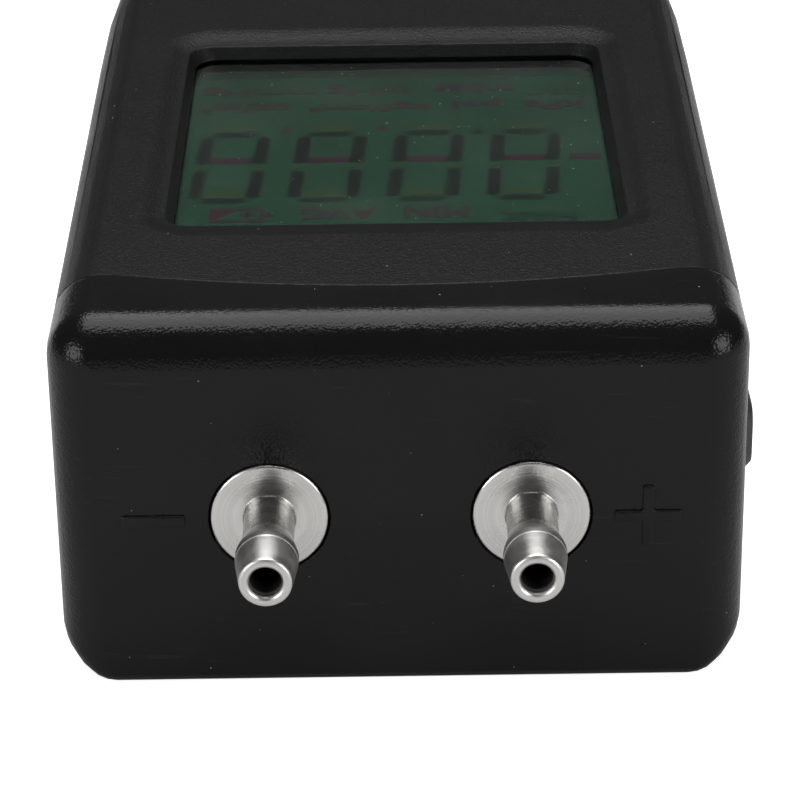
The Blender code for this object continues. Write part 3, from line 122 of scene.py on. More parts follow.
def tint(tree, share, first, second):
    """Two colours mixed."""
    made = node(tree, "ShaderNodeMix", data_type="RGBA")
    for key, value in ((0, share), (6, first), (7, second)):
        if isinstance(value, bpy.types.NodeSocket):
            tree.links.new(value, made.inputs[key])
        else:
            made.inputs[key].default_value = value
    return made.outputs[2]


def rgb(red, green, blue):
    return (red, green, blue, 1.0)


def scaled(colour, by, more=0.0):
    """A colour as a shader takes it, every channel scaled and raised alike."""
    return rgb(*(channel * by + more for channel in colour))


def bump_from(tree, shell, height, depth, strength, normal=None):
    """Relief of a given depth in metres, fed to a shader's normal."""
    inputs = {"Height": height, "Distance": depth, "Strength": strength}
    if normal is not None:
        inputs["Normal"] = normal
    tree.links.new(node(tree, "ShaderNodeBump", inputs).outputs["Normal"], shell.inputs["Normal"])


KINDS = {"f": "NodeSocketFloat", "c": "NodeSocketColor", "v": "NodeSocketVector"}


def effect(name, inputs, outputs):
    """An empty shader node group: its tree, its named inputs and a function that fills its outputs."""
    tree = bpy.data.node_groups.new(name, "ShaderNodeTree")
    for label, kind, value in inputs:
        socket = tree.interface.new_socket(label, in_out="INPUT", socket_type=KINDS[kind])
        if value is not None:
            socket.default_value = value
    for label, kind in outputs:
        tree.interface.new_socket(label, in_out="OUTPUT", socket_type=KINDS[kind])
    entry = tree.nodes.new("NodeGroupInput")
    leave = tree.nodes.new("NodeGroupOutput")

    def give(label, value):
        tree.links.new(value, leave.inputs[label])

    return tree, entry.outputs, give


def use(tree, group, values=None):
    """A group placed in a material with its own values."""
    return node(tree, "ShaderNodeGroup", values, node_tree=group).outputs


def object_coordinates(tree):
    return tree.nodes.new("ShaderNodeTexCoord").outputs["Object"]


def noise(tree, vector, scale, detail=2.0, roughness=0.5, **more):
    """The value of a Noise Texture, in cycles per metre."""
    inputs = {"Vector": vector, "Scale": scale, "Detail": detail, "Roughness": roughness, **more}
    return node(tree, "ShaderNodeTexNoise", inputs).outputs["Fac"]


# ---------------------------------------------------------------- shared effects


def make_pebbled_grain():
    """Spark-eroded mould grain: rounded pebbles of two sizes."""
    tree, given, give = effect(
        "pebbled_grain",
        [("Pebbles per metre", "f", 2600.0), ("Softness", "f", 0.5)],
        [("Height", "f"), ("Tone", "f")],
    )
    spot = object_coordinates(tree)
    pebbles = given["Pebbles per metre"]
    cells = node(
        tree,
        "ShaderNodeTexVoronoi",
        {"Vector": spot, "Scale": pebbles, "Smoothness": given["Softness"]},
        feature="SMOOTH_F1",
    )
    coarse = noise(tree, spot, calc(tree, "MULTIPLY", pebbles, 0.42), 3.0, 0.55)
    raised = calc(tree, "SUBTRACT", 1.0, cells.outputs["Distance"])
    give("Height", blended(tree, (raised, 0.6), (coarse, 0.8)))
    broad = noise(tree, spot, 70.0, 4.0, 0.6)
    give("Tone", blended(tree, (broad, 0.6), (coarse, 0.4)))
    return tree


def make_rounded_edges():
    """Edges broken by the mould or by a tool: a rounded normal, and a mask of the edges."""
    tree, given, give = effect(
        "rounded_edges",
        [("Radius", "f", 0.0003)],
        [("Normal", "v"), ("Edge", "f")],
    )
    rounded = node(tree, "ShaderNodeBevel", {"Radius": given["Radius"]}, samples=6)
    facing = node(tree, "ShaderNodeNewGeometry")
    normals = {0: rounded.outputs["Normal"], 1: facing.outputs["Normal"]}
    alike = node(tree, "ShaderNodeVectorMath", normals, operation="DOT_PRODUCT")
    give("Normal", rounded.outputs["Normal"])
    give("Edge", span(tree, alike.outputs["Value"], 0.995, 0.88))
    return tree


def make_dust():
    """Single bright specks, sparse and of uneven size."""
    tree, given, give = effect(
        "dust_specks",
        [("Cells per metre", "f", 900.0), ("Share", "f", 0.2), ("Size", "f", 0.07)],
        [("Mask", "f")],
    )
    where = {"Vector": object_coordinates(tree), "Scale": given["Cells per metre"]}
    cells = node(tree, "ShaderNodeTexVoronoi", where, feature="F1")
    lot = node(tree, "ShaderNodeSeparateColor", {"Color": cells.outputs["Color"]})
    chosen = calc(tree, "LESS_THAN", lot.outputs["Red"], given["Share"])
    size = calc(tree, "MULTIPLY", given["Size"], calc(tree, "ADD", 0.5, lot.outputs["Green"]))
    inside = calc(tree, "SUBTRACT", 1.0, calc(tree, "DIVIDE", cells.outputs["Distance"], size), clamp=True)
    facing = node(tree, "ShaderNodeSeparateXYZ", {"Vector": node(tree, "ShaderNodeNewGeometry").outputs["Normal"]})
    settled = span(tree, facing.outputs["Z"], -0.3, 0.8, 0.25, 1.0)
    chosen = calc(tree, "MULTIPLY", chosen, settled)
    give("Mask", calc(tree, "MULTIPLY", chosen, calc(tree, "MULTIPLY", inside, 2.2, clamp=True)))
    return tree


def make_handling():
    """Where hands and cloths have polished or smeared a surface."""
    tree, given, give = effect(
        "handling_marks",
        [("Patches per metre", "f", 45.0)],
        [("Smear", "f"), ("Scratch", "f")],
    )
    spot = object_coordinates(tree)
    patches = noise(tree, spot, given["Patches per metre"], 5.0, 0.6, Distortion=0.6)
    give("Smear", span(tree, patches, 0.38, 0.68))
    drawn_out = {"Vector": spot, "Rotation": (0.3, 0.5, 0.7), "Scale": (1.0, 22.0, 14.0)}
    long_way = node(tree, "ShaderNodeMapping", drawn_out)
    hair = noise(tree, long_way.outputs["Vector"], 120.0, 2.0, 0.4)
    give("Scratch", span(tree, hair, 0.69, 0.74))
    return tree


def fade(tree, value, none, full):
    """Nothing at one length and all at another, both in millimetres."""
    return span(tree, value, none * MM, full * MM)


# Where the bore, the barb and the neck fade in on a fitting: radii, and places along the case from its middle
BORE_RADII = (1.82, 1.72)
BORE_DEPTHS = (-110.8, -110.0)
BARB_DEPTHS = (-104.0, -105.6)
NECK_RADII = (3.00, 2.84)
NECK_DEPTHS = (-104.0, -103.0)


def make_turning():
    """Tool rings left by a lathe, round an axis that runs along the case."""
    tree, given, give = effect(
        "turning_rings",
        [("Axis x", "f", 0.0), ("Axis z", "f", PORT_HEIGHT * MM), ("Rings per metre", "f", 5200.0)],
        [("Height", "f"), ("Tone", "f"), ("Bore", "f"), ("Barb", "f"), ("Neck", "f")],
    )
    apart = node(tree, "ShaderNodeSeparateXYZ", {"Vector": object_coordinates(tree)})
    across = calc(tree, "SUBTRACT", apart.outputs["X"], given["Axis x"])
    up = calc(tree, "SUBTRACT", apart.outputs["Z"], given["Axis z"])
    squares = (calc(tree, "MULTIPLY", way, way) for way in (across, up))
    radius = calc(tree, "SQRT", calc(tree, "ADD", *squares))
    along = apart.outputs["Y"]
    feed = calc(tree, "ADD", radius, calc(tree, "MULTIPLY", along, 0.8))

    def rings(per_metre, roughness):
        inputs = {"W": calc(tree, "MULTIPLY", feed, per_metre), "Scale": 1.0, "Detail": 2.0, "Roughness": roughness}
        return node(tree, "ShaderNodeTexNoise", inputs, noise_dimensions="1D").outputs["Fac"]

    fine = rings(given["Rings per metre"], 0.6)
    wide = rings(calc(tree, "MULTIPLY", given["Rings per metre"], 0.23), 0.5)
    give("Height", blended(tree, (fine, 0.5), (wide, 0.5)))
    give("Tone", calc(tree, "MULTIPLY", wide, fine))
    in_bore = fade(tree, radius, *BORE_RADII)
    give("Bore", calc(tree, "MULTIPLY", in_bore, fade(tree, along, *BORE_DEPTHS)))
    give("Barb", fade(tree, along, *BARB_DEPTHS))
    slim = fade(tree, radius, *NECK_RADII)
    give("Neck", calc(tree, "MULTIPLY", slim, fade(tree, along, *NECK_DEPTHS)))
    return tree


def make_brushing():
    """Fine marks drawn along one way of a metal sheet or can."""
    tree, given, give = effect(
        "drawn_marks",
        [("Stretch", "v", (1.0, 30.0, 1.0)), ("Marks per metre", "f", 900.0)],
        [("Height", "f")],
    )
    ways = {0: object_coordinates(tree), 1: given["Stretch"]}
    drawn = node(tree, "ShaderNodeVectorMath", ways, operation="MULTIPLY")
    give("Height", noise(tree, drawn.outputs["Vector"], given["Marks per metre"], 3.0, 0.65))
    return tree


def make_panel_film():
    """The unlit liquid crystal panel: deep green, faintly uneven, with a grainy polariser."""
    tree, given, give = effect("panel_film", [("Green", "c", rgb(0.03, 0.075, 0.045))], [("Color", "c")])
    spot = object_coordinates(tree)
    uneven = noise(tree, spot, 55.0, 3.0, 0.5)
    grain = noise(tree, spot, 3800.0, 2.0, 0.7)
    light = calc(tree, "ADD", 0.62, blended(tree, (uneven, 0.36), (grain, 0.4)))
    lit = node(tree, "ShaderNodeVectorMath", {0: given["Green"], "Scale": light}, operation="SCALE")
    give("Color", lit.outputs["Vector"])
    return tree


def make_laminate():
    """Glass cloth under solder resist, with tracks pressed through it."""
    tree, given, give = effect(
        "laminate_weave",
        [("Threads per metre", "f", 1500.0)],
        [("Height", "f"), ("Track", "f")],
    )
    spot = object_coordinates(tree)
    threads = {"Vector": spot, "Scale": given["Threads per metre"], "Distortion": 0.4}
    warp, weft = (node(tree, "ShaderNodeTexWave", threads, bands_direction=way).outputs["Fac"] for way in "XY")
    give("Height", calc(tree, "MULTIPLY", warp, weft))
    grid = {"Vector": spot, "Scale": 260.0}
    squares = node(tree, "ShaderNodeTexVoronoi", grid, feature="F1", distance="CHEBYCHEV")
    give("Track", span(tree, squares.outputs["Distance"], 0.42, 0.46))
    return tree


GRAIN = make_pebbled_grain()
EDGES = make_rounded_edges()
DUST = make_dust()
HANDLING = make_handling()
TURNING = make_turning()
BRUSHING = make_brushing()
PANEL = make_panel_film()
LAMINATE = make_laminate()


# ---------------------------------------------------------------- finishes


def blank(name):
    """A new material, its tree and its Principled BSDF."""
    made = bpy.data.materials.new(name)
    made.use_nodes = True
    tree = made.node_tree
    return made, tree, tree.nodes["Principled BSDF"]


SPECK = rgb(0.34, 0.34, 0.33)


def moulded(
    name, colour, roughness, pebbles=2600.0, depth=0.00002, edge=0.0003, worn=0.03, dusty=0.2, specular=0.5
):
    """Moulded plastic: pebbled grain, softened edges that shine a little and are painted lighter, partly as wear
    and partly as a painted highlight, smears and dust.
    """
    made, tree, shell = blank(name)
    grain = use(tree, GRAIN, {"Pebbles per metre": pebbles})
    edges = use(tree, EDGES, {"Radius": edge})
    marks = use(tree, HANDLING, {})
    specks = use(tree, DUST, {"Share": dusty})
    base = tint(tree, grain["Tone"], scaled(colour, 0.82), scaled(colour, 1.18))
    # Edges painted lighter: partly wear, partly a painted highlight.
    base = tint(tree, calc(tree, "MULTIPLY", edges["Edge"], worn * 4), base, scaled(colour, 1.0, worn))
    base = tint(tree, calc(tree, "MULTIPLY", marks["Scratch"], 0.25), base, scaled(colour, 1.6, 0.01))
    base = tint(tree, specks["Mask"], base, SPECK)
    tree.links.new(base, shell.inputs["Base Color"])
    rough = calc(tree, "ADD", roughness - 0.05, calc(tree, "MULTIPLY", grain["Tone"], 0.08))
    rough = calc(tree, "SUBTRACT", rough, calc(tree, "MULTIPLY", marks["Smear"], 0.05))
    rough = calc(tree, "SUBTRACT", rough, calc(tree, "MULTIPLY", edges["Edge"], 0.06), clamp=True)
    tree.links.new(rough, shell.inputs["Roughness"])
    bump_from(tree, shell, grain["Height"], depth, 1.0, edges["Normal"])
    shell.inputs["Specular IOR Level"].default_value = specular
    return made


def rubbery(name, colour, roughness, subsurface=0.0, depth=0.00001):
    """Moulded rubber or silicone: matt, with a faint bloom."""
    made, tree, shell = blank(name)
    grain = use(tree, GRAIN, {"Pebbles per metre": 1800.0, "Softness": 0.8})
    marks = use(tree, HANDLING, {"Patches per metre": 110.0})
    base = tint(tree, marks["Smear"], rgb(*colour), scaled(colour, 1.25, 0.012))
    tree.links.new(base, shell.inputs["Base Color"])
    rough = calc(tree, "ADD", roughness, calc(tree, "MULTIPLY", grain["Tone"], 0.1))
    tree.links.new(rough, shell.inputs["Roughness"])
    bump_from(tree, shell, grain["Height"], depth, 1.0)
    shell.inputs["Subsurface Weight"].default_value = subsurface
    shell.inputs["Subsurface Scale"].default_value = 0.001
    return made


def turned_metal(name, colour, axis_x, roughness=0.21):
    """Turned and nickel plated: tool rings, a darker neck, a bore painted dark as shade, edges painted bright as a
    highlight.
    """
    made, tree, shell = blank(name)
    rings = use(tree, TURNING, {"Axis x": axis_x * MM})
    marks = use(tree, HANDLING, {"Patches per metre": 260.0})
    edges = use(tree, EDGES, {"Radius": 0.00012})
    base = tint(tree, calc(tree, "MULTIPLY", rings["Tone"], 1.6, clamp=True), scaled(colour, 0.72), rgb(*colour))
    # Edges painted brighter: a painted highlight.
    base = tint(tree, edges["Edge"], base, scaled(colour, 1.18))
    # The slim neck is painted darker.
    base = tint(tree, calc(tree, "MULTIPLY", rings["Neck"], 0.6), base, rgb(0.20, 0.20, 0.19))
    # Deeper into the bore the colour goes dark: painted shade.
    base = tint(tree, rings["Bore"], base, rgb(0.03, 0.03, 0.03))
    tree.links.new(base, shell.inputs["Base Color"])
    rough = calc(tree, "ADD", roughness, calc(tree, "MULTIPLY", marks["Smear"], 0.12))
    rough = calc(tree, "ADD", rough, calc(tree, "MULTIPLY", rings["Bore"], 0.4))
    rough = calc(tree, "ADD", rough, calc(tree, "MULTIPLY", rings["Barb"], 0.14))
    tree.links.new(rough, shell.inputs["Roughness"])
    bump_from(tree, shell, rings["Height"], 0.00003, 0.8, edges["Normal"])
    shell.inputs["Metallic"].default_value = 1.0
    return made


def drawn_metal(name, colour, roughness, stretch=(1.0, 1.0, 30.0)):
    """Plated or tinned steel with drawn marks."""
    made, tree, shell = blank(name)
    lines = use(tree, BRUSHING, {"Stretch": stretch})
    marks = use(tree, HANDLING, {"Patches per metre": 300.0})
    base = tint(tree, marks["Smear"], scaled(colour, 0.85), rgb(*colour))
    tree.links.new(base, shell.inputs["Base Color"])
    rough = calc(tree, "ADD", roughness, calc(tree, "MULTIPLY", lines["Height"], 0.15))
    tree.links.new(rough, shell.inputs["Roughness"])
    bump_from(tree, shell, lines["Height"], 0.00001, 0.7)
    shell.inputs["Metallic"].default_value = 1.0
    return made


def clear_lens():
    """Polished acrylic with faint smears and dust; light passes it to the panel."""
    made, tree, shell = blank("lens_acrylic")
    marks = use(tree, HANDLING, {"Patches per metre": 60.0})
    specks = use(tree, DUST, {"Share": 0.17, "Size": 0.085})
    base = tint(tree, specks["Mask"], rgb(0.95, 0.98, 0.96), rgb(0.7, 0.7, 0.7))
    tree.links.new(base, shell.inputs["Base Color"])
    rough = calc(tree, "ADD", 0.03, blended(tree, (marks["Smear"], 0.03), (specks["Mask"], 0.5)))
    tree.links.new(rough, shell.inputs["Roughness"])
    shell.inputs["Transmission Weight"].default_value = 1.0
    shell.inputs["IOR"].default_value = 1.49
    shell.inputs["Specular IOR Level"].default_value = 0.32
    shell.inputs["Specular Tint"].default_value = rgb(0.0, 0.0, 0.0)
    through = node(tree, "ShaderNodeBsdfTransparent", {"Color": rgb(0.94, 0.97, 0.95)})
    path = tree.nodes.new("ShaderNodeLightPath")
    share = calc(tree, "MAXIMUM", path.outputs["Is Shadow Ray"], path.outputs["Is Diffuse Ray"])
    both = node(tree, "ShaderNodeMixShader", {0: share})
    tree.links.new(shell.outputs[0], both.inputs[1])
    tree.links.new(through.outputs[0], both.inputs[2])
    tree.links.new(both.outputs[0], tree.nodes["Material Output"].inputs["Surface"])
    return made


PANEL_GREEN = rgb(0.0088, 0.0360, 0.0200)
# Near-black for the painted shadow at the panel's far end.
FAR_SHADOW_BLACK = rgb(0.0020, 0.0030, 0.0026)


def satin_panel(name):
    """The panel's reflector, satin and green: its material, tree, shader and colour."""
    made, tree, shell = blank(name)
    film = use(tree, PANEL, {"Green": PANEL_GREEN})
    shell.inputs["Metallic"].default_value = 1.0
    shell.inputs["Specular Tint"].default_value = rgb(0.3, 0.3, 0.3)
    shell.inputs["Roughness"].default_value = 0.50
    return made, tree, shell, film["Color"]


def panel_glass():
    """The panel itself, satin behind the lens."""
    made, tree, shell, green = satin_panel("lcd_panel_film")
    tree.links.new(green, shell.inputs["Base Color"])
    return made


def panel_ink(name, colour, strength):
    """A mark of the panel: its colour fades into the panel's green towards its rim."""
    made, tree, shell, green = satin_panel(name)
    depth = node(tree, "ShaderNodeAttribute", attribute_name="ink")
    share = calc(tree, "MULTIPLY", depth.outputs["Fac"], strength, clamp=True)
    tree.links.new(tint(tree, share, green, rgb(*colour)), shell.inputs["Base Color"])
    return made


def far_shadow_ink():
    """A painted shadow on the panel's far end: a matt black mask whose rim fades into the panel's green."""
    made, tree, shell, green = satin_panel("panel_painted_far_shadow")
    share = node(tree, "ShaderNodeAttribute", attribute_name="ink").outputs["Fac"]
    tree.links.new(tint(tree, share, green, FAR_SHADOW_BLACK), shell.inputs["Base Color"])
    tree.links.new(calc(tree, "SUBTRACT", 1.0, share, clamp=True), shell.inputs["Metallic"])
    shell.inputs["Specular IOR Level"].default_value = 0.0
    return made


def laminate_board():
    """Circuit board: green solder resist over glass cloth and tracks."""
    made, tree, shell = blank("board_solder_resist")
    cloth = use(tree, LAMINATE, {})
    base = tint(tree, cloth["Track"], rgb(0.012, 0.10, 0.04), rgb(0.03, 0.2, 0.07))
    tree.links.new(base, shell.inputs["Base Color"])
    rough = calc(tree, "ADD", 0.3, calc(tree, "MULTIPLY", cloth["Height"], 0.15))
    tree.links.new(rough, shell.inputs["Roughness"])
    bump_from(tree, shell, blended(tree, (cloth["Track"], 1.0), (cloth["Height"], 0.3)), 0.00002, 0.8)
    return made


HOUSING = (0.0062, 0.0062, 0.0065)
COVER_ABS = {"pebbles": 4600.0, "depth": 0.00008, "worn": 0.035, "dusty": 0.09, "specular": 0.145}
CAP_ABS = {"pebbles": 3600.0, "depth": 0.00005, "worn": 0.012, "dusty": 0.06, "specular": 0.175}
NICKEL = (0.65, 0.64, 0.62)

finishes = {
    "housing": moulded("housing_black_abs", HOUSING, 0.36, **COVER_ABS),
    "port_cap": moulded("port_cap_black_abs", (0.0046, 0.0046, 0.0048), 0.22, **CAP_ABS),
    "battery_door": moulded("door_black_abs", HOUSING, 0.36, **COVER_ABS),
    "lens": clear_lens(),
    "lcd_glass": panel_glass(),
    # The white-plastic slot, the display frame with it, is given near-black: painted shade where the frame's lip
    # lies in shadow at the window's far end.
    "white_plastic": moulded(
        "frame_plastic_painted_shade", (0.005, 0.005, 0.005), 0.5, worn=0.01, dusty=0.0, specular=0.05
    ),
    "light_guide": moulded("milky_light_guide", (0.72, 0.75, 0.7), 0.25, depth=0.000004, worn=0.05, dusty=0.05),
    "zebra_rubber": rubbery("layered_rubber", (0.4, 0.35, 0.32), 0.6),
    "board_laminate": laminate_board(),
    "black_plastic": moulded("black_moulding", (0.02, 0.02, 0.02), 0.45),
    "chip_epoxy": moulded("chip_epoxy", (0.02, 0.02, 0.022), 0.55, pebbles=5200.0, edge=0.0001),
    "tinned_can": drawn_metal("tinned_can", (0.6, 0.6, 0.58), 0.28),
    "capacitor_sleeve": moulded("shrunk_sleeve", (0.03, 0.04, 0.12), 0.3, depth=0.000005),
    "sensor_plastic": moulded("sensor_body", (0.55, 0.55, 0.52), 0.5, worn=0.05),
    "clear_silicone": rubbery("silicone_hose", (0.68, 0.69, 0.66), 0.35, subsurface=0.4),
    "black_rubber": rubbery("black_rubber", (0.015, 0.015, 0.015), 0.55),
    "keypad_silicone": rubbery("keypad_silicone", (0.16, 0.17, 0.18), 0.6, subsurface=0.1),
    "keycap_plastic": moulded("keycap_grey", (0.065, 0.067, 0.07), 0.45, pebbles=3200.0, edge=0.0004),
    "battery_wrap": moulded("battery_jacket", (0.04, 0.05, 0.07), 0.25, depth=0.000004),
    "grey_foam": rubbery("closed_cell_foam", (0.12, 0.12, 0.12), 0.85, depth=0.00012),
    "red_insulation": rubbery("red_insulation", (0.5, 0.02, 0.02), 0.4),
    "black_insulation": rubbery("black_insulation", (0.02, 0.02, 0.02), 0.4),
    "zinc_steel": drawn_metal("zinc_plated_steel", (0.62, 0.63, 0.65), 0.3),
}
nickel_minus = turned_metal("minus_nickel_plate", NICKEL, -PORT_SPACING / 2)
nickel_plus = turned_metal("plus_nickel_plate", NICKEL, PORT_SPACING / 2)

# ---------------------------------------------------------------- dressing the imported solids

SLOT_OF = {row["node"]: row["material_slot"] for row in frame["record"]["subparts"]}
SMOOTH_UNDER = math.radians(32)


def paint(piece, finish):
    """A piece in one material only."""
    piece.data.materials.clear()
    piece.data.materials.append(finish)
    return piece


def show(name, mesh, body="case", finish=None):
    """A new piece from a finished mesh, riding on a body."""
    piece = bpy.data.objects.new(name, mesh)
    bpy.context.scene.collection.objects.link(piece)
    if finish:
        paint(piece, finish)
    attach(piece, body)
    return piece


def mesh_from(name, bm, smooth_under=SMOOTH_UNDER):
    """A bmesh made a mesh, shaded smooth apart from its sharp edges."""
    mesh = bpy.data.meshes.new(name)
    bm.to_mesh(mesh)
    bm.free()
    mesh.shade_smooth()
    mesh.set_sharp_from_angle(angle=smooth_under)
    return mesh


SOLIDS_MERGED_WITHIN = 0.000002
SPUN_MERGED_WITHIN = 1e-7
FLAT_WITHIN = math.radians(0.4)


def dressed(name, finish, alter=None):
    """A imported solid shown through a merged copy, so that its curved faces shade smoothly."""
    bm = bmesh.new()
    bm.from_mesh(nodes[name].data)
    bmesh.ops.remove_doubles(bm, verts=bm.verts, dist=SOLIDS_MERGED_WITHIN)
    bmesh.ops.dissolve_limit(bm, angle_limit=FLAT_WITHIN, verts=bm.verts, edges=bm.edges)
    if alter:
        alter(bm)
    mesh = mesh_from("dressed_" + name, bm)
    piece = show(mesh.name, mesh, nodes[name]["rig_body"], finish)
    weighted = piece.modifiers.new("flat_faces_shade_flat", "WEIGHTED_NORMAL")
    weighted.mode = "FACE_AREA"
    weighted.weight = 60
    weighted.keep_sharp = True
    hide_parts(name)
    return piece


def round_off(bm, edges, width, segments):
    """Edges rounded by a width in millimetres."""
    bmesh.ops.bevel(
        bm,
        geom=edges,
        offset=width * MM,
        offset_type="OFFSET",
        affect="EDGES",
        segments=segments,
        profile=0.5,
        material=-1,
        clamp_overlap=True,
    )


SEAM_RADIUS = 126.5
CAP_SEAM = 10.05
COVER_SEAM = 10.35
SEAM_WITHIN = 0.09
SEAM_CLOSED_BY = 0.2
SEAM_RIM = 0.22


def beside_seam(point, start):
    """Whether a point lies on the curved seam wall that starts at a station."""
    x, station = point.x / MM, point.y / MM + HALF_LENGTH
    curve = start + SEAM_RADIUS - math.sqrt(SEAM_RADIUS ** 2 - x * x)
    return abs(station - curve) < SEAM_WITHIN


def outside(point):
    """Whether a point of the cover is on its outer skin: its front, its side or the round between."""
    x, z = abs(point.x) / MM, point.z / MM
    return z > 42.5 or x > 36.2 or (z > 38.0 and x > 34.0)


def close_seam(bm):
    """The cap comes close to the covers, as it does once pressed on."""
    for v in bm.verts:
        if beside_seam(v.co, CAP_SEAM):
            v.co.y += SEAM_CLOSED_BY * MM


def soften_seam(bm):
    """The cover's rim at the seam is rounded."""
    bm.normal_update()
    rim = []
    for edge in bm.edges:
        if len(edge.link_faces) == 2 and all(beside_seam(v.co, COVER_SEAM) for v in edge.verts):
            wall, skin = sorted(face.normal.y for face in edge.link_faces)
            middle = (edge.verts[0].co + edge.verts[1].co) / 2
            if wall < -0.6 and skin > -0.4 and outside(middle):
                rim.append(edge)
    round_off(bm, rim, SEAM_RIM, 3)


ALTER = {"port_cap": close_seam, "front_cover": soften_seam}

KEYS = ("power", "light", "units", "hold", "record", "zero")
DRESSED = [
    "front_cover", "rear_cover", "port_cap", "battery_door", "jack_cover",
    "door_screw", "display_lens", "lcd_frame", "lcd_panel",
]
DRESSED += ["key_" + key for key in KEYS] + [f"case_screw_{n}" for n in (1, 2, 3, 4)]

for name in DRESSED:
    dressed(name, finishes[SLOT_OF[name]], alter=ALTER.get(name))
for side, metal in (("minus", nickel_minus), ("plus", nickel_plus)):
    paint(nodes[side + "_fitting_nut"], metal)
for name, solid in nodes.items():
    if not solid.hide_render and not name.endswith(("_fitting", "_fitting_nut")):
        paint(solid, finishes[SLOT_OF[name]])


# ---------------------------------------------------------------- hose fittings, finely turned

# radius and distance out of the port face, round the closed section
BORE_SIDE = [(0.9, -14.6), (0.9, -2.05), (1.7, -1.25), (1.7, 14.05), (1.76, 14.22), (1.92, 14.42), (2.06, 14.5)]
TIP_SIDE = [(2.42, 14.5), (2.6, 14.46), (2.75, 14.35), (2.83, 14.2), (2.86, 14.02)]
BARB_SIDE = [
    (3.30, 10.35), (3.325, 10.22), (3.27, 10.14), (3.27, 10.04), (3.345, 9.96), (3.375, 9.3),
    (3.375, 8.95), (3.34, 8.75), (2.9, 6.6), (2.8, 6.2), (2.75, 5.8),
]
FLANGE_SIDE = [
    (2.75, 0.5), (2.8, 0.28), (2.93, 0.15), (6.0, 0.15),
    (6.16, 0.12), (6.29, 0.0), (6.37, -0.2), (6.37, -1.25),
]
SHANK_SIDE = [(3.0, -1.25), (3.0, -7.6), (1.5, -7.6), (1.5, -14.6)]
FITTING_STEPS = 96
FITTING_SMOOTH_UNDER = math.radians(24)


def build_fitting(side, axis_x, metal):
    """One fitting, spun from its section round the axis of its port."""
    bm = bmesh.new()
    section = BORE_SIDE + TIP_SIDE + BARB_SIDE + FLANGE_SIDE + SHANK_SIDE
    corners = [bm.verts.new(place(axis_x + radius, -out, PORT_HEIGHT)) for radius, out in section]
    edges = [bm.edges.new((first, second)) for first, second in zip(corners, corners[1:] + corners[:1])]
    bmesh.ops.spin(
        bm,
        geom=corners + edges,
        cent=place(axis_x, 0.0, PORT_HEIGHT),
        axis=(0, 1, 0),
        angle=math.tau,
        steps=FITTING_STEPS,
        use_merge=True,
        use_duplicate=False,
    )
    bmesh.ops.remove_doubles(bm, verts=bm.verts, dist=SPUN_MERGED_WITHIN)
    bmesh.ops.recalc_face_normals(bm, faces=bm.faces)
    name = side + "_fitting"
    mesh = mesh_from("turned_" + name, bm, FITTING_SMOOTH_UNDER)
    piece = show(mesh.name, mesh, nodes[name]["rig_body"], metal)
    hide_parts(name)


build_fitting("minus", -PORT_SPACING / 2, nickel_minus)
build_fitting("plus", PORT_SPACING / 2, nickel_plus)


# ---------------------------------------------------------------- raised signs beside the ports

SIGN_PROUD = 0.25
SIGN_SUNK = 0.1
SIGN_CORNER = 0.25
SIGN_EDGE = 0.06
MINUS_BAR = (-30.05, -23.2, 19.5, 20.85)
PLUS_CENTRE = (26.65, 20.15)
PLUS_HALF_WIDTH = 0.6
PLUS_HALF_LENGTH = 3.6


def sign_bar(x_low, x_high, z_low, z_high):
    """A flat bar on the port face."""
    bm = bmesh.new()
    size = Vector((x_high - x_low, SIGN_PROUD + SIGN_SUNK, z_high - z_low)) * MM
    centre = place((x_low + x_high) / 2, (SIGN_SUNK - SIGN_PROUD) / 2, (z_low + z_high) / 2)
    placed = Matrix.Translation(centre) @ Matrix.Diagonal((*size, 1.0))
    bmesh.ops.create_cube(bm, size=1.0, matrix=placed)
    return bm


def finish_sign(name, bm):
    """The sign's upright corners and its face's rim are rounded."""
    bmesh.ops.recalc_face_normals(bm, faces=bm.faces)
    corners = [e for e in bm.edges if abs((e.verts[0].co - e.verts[1].co).normalized().y) > 0.9]
    round_off(bm, corners, SIGN_CORNER, 3)
    outer = min(v.co.y for v in bm.verts)
    face = [e for e in bm.edges if all(abs(v.co.y - outer) < 1e-7 for v in e.verts)]
    rim = [e for e in face if any(f.normal.y > -0.5 for f in e.link_faces)]
    round_off(bm, rim, SIGN_EDGE, 2)
    return show(name, mesh_from(name, bm), finish=finishes["port_cap"])


def build_signs():
    """The minus is one bar; the plus grows four arms from a square core."""
    finish_sign("minus_sign", sign_bar(*MINUS_BAR))
    x, z = PLUS_CENTRE
    half = PLUS_HALF_WIDTH
    bm = sign_bar(x - half, x + half, z - half, z + half)
    centre = place(x, 0, z)
    for way in (Vector((1, 0, 0)), Vector((-1, 0, 0)), Vector((0, 0, 1)), Vector((0, 0, -1))):
        bm.faces.ensure_lookup_table()
        bm.normal_update()

        def on_core(face):
            away = (face.calc_center_median() - centre).dot(way)
            return face.normal.dot(way) > 0.9 and abs(away) < (half + 0.01) * MM

        side = next(filter(on_core, bm.faces))
        arm = bmesh.ops.extrude_discrete_faces(bm, faces=[side])["faces"]
        bmesh.ops.translate(bm, verts=arm[0].verts, vec=way * (PLUS_HALF_LENGTH - half) * MM)
    bmesh.ops.remove_doubles(bm, verts=bm.verts, dist=SPUN_MERGED_WITHIN)
    finish_sign("plus_sign", bm)


build_signs()


# ---------------------------------------------------------------- what the panel shows

# The dark ink is the segments' own dark and their painted shadow on the panel's reflector, drawn as one.
DARK_INK_AND_PAINTED_SHADOW = panel_ink("panel_dark_segment_and_shadow", (0.0020, 0.0070, 0.0055), 1.0)
MAROON_INK = panel_ink("panel_maroon_segment", (0.0306, 0.0075, 0.0173), 0.95)
# This ink paints the shadow of the window's far wall on the panel.
FAR_SHADOW_INK = far_shadow_ink()
OLIVE_INK = panel_ink("panel_olive_segment", (0.026, 0.034, 0.010), 0.8)
FILM_SUNK = 0.01
FILM_THICK = 0.035


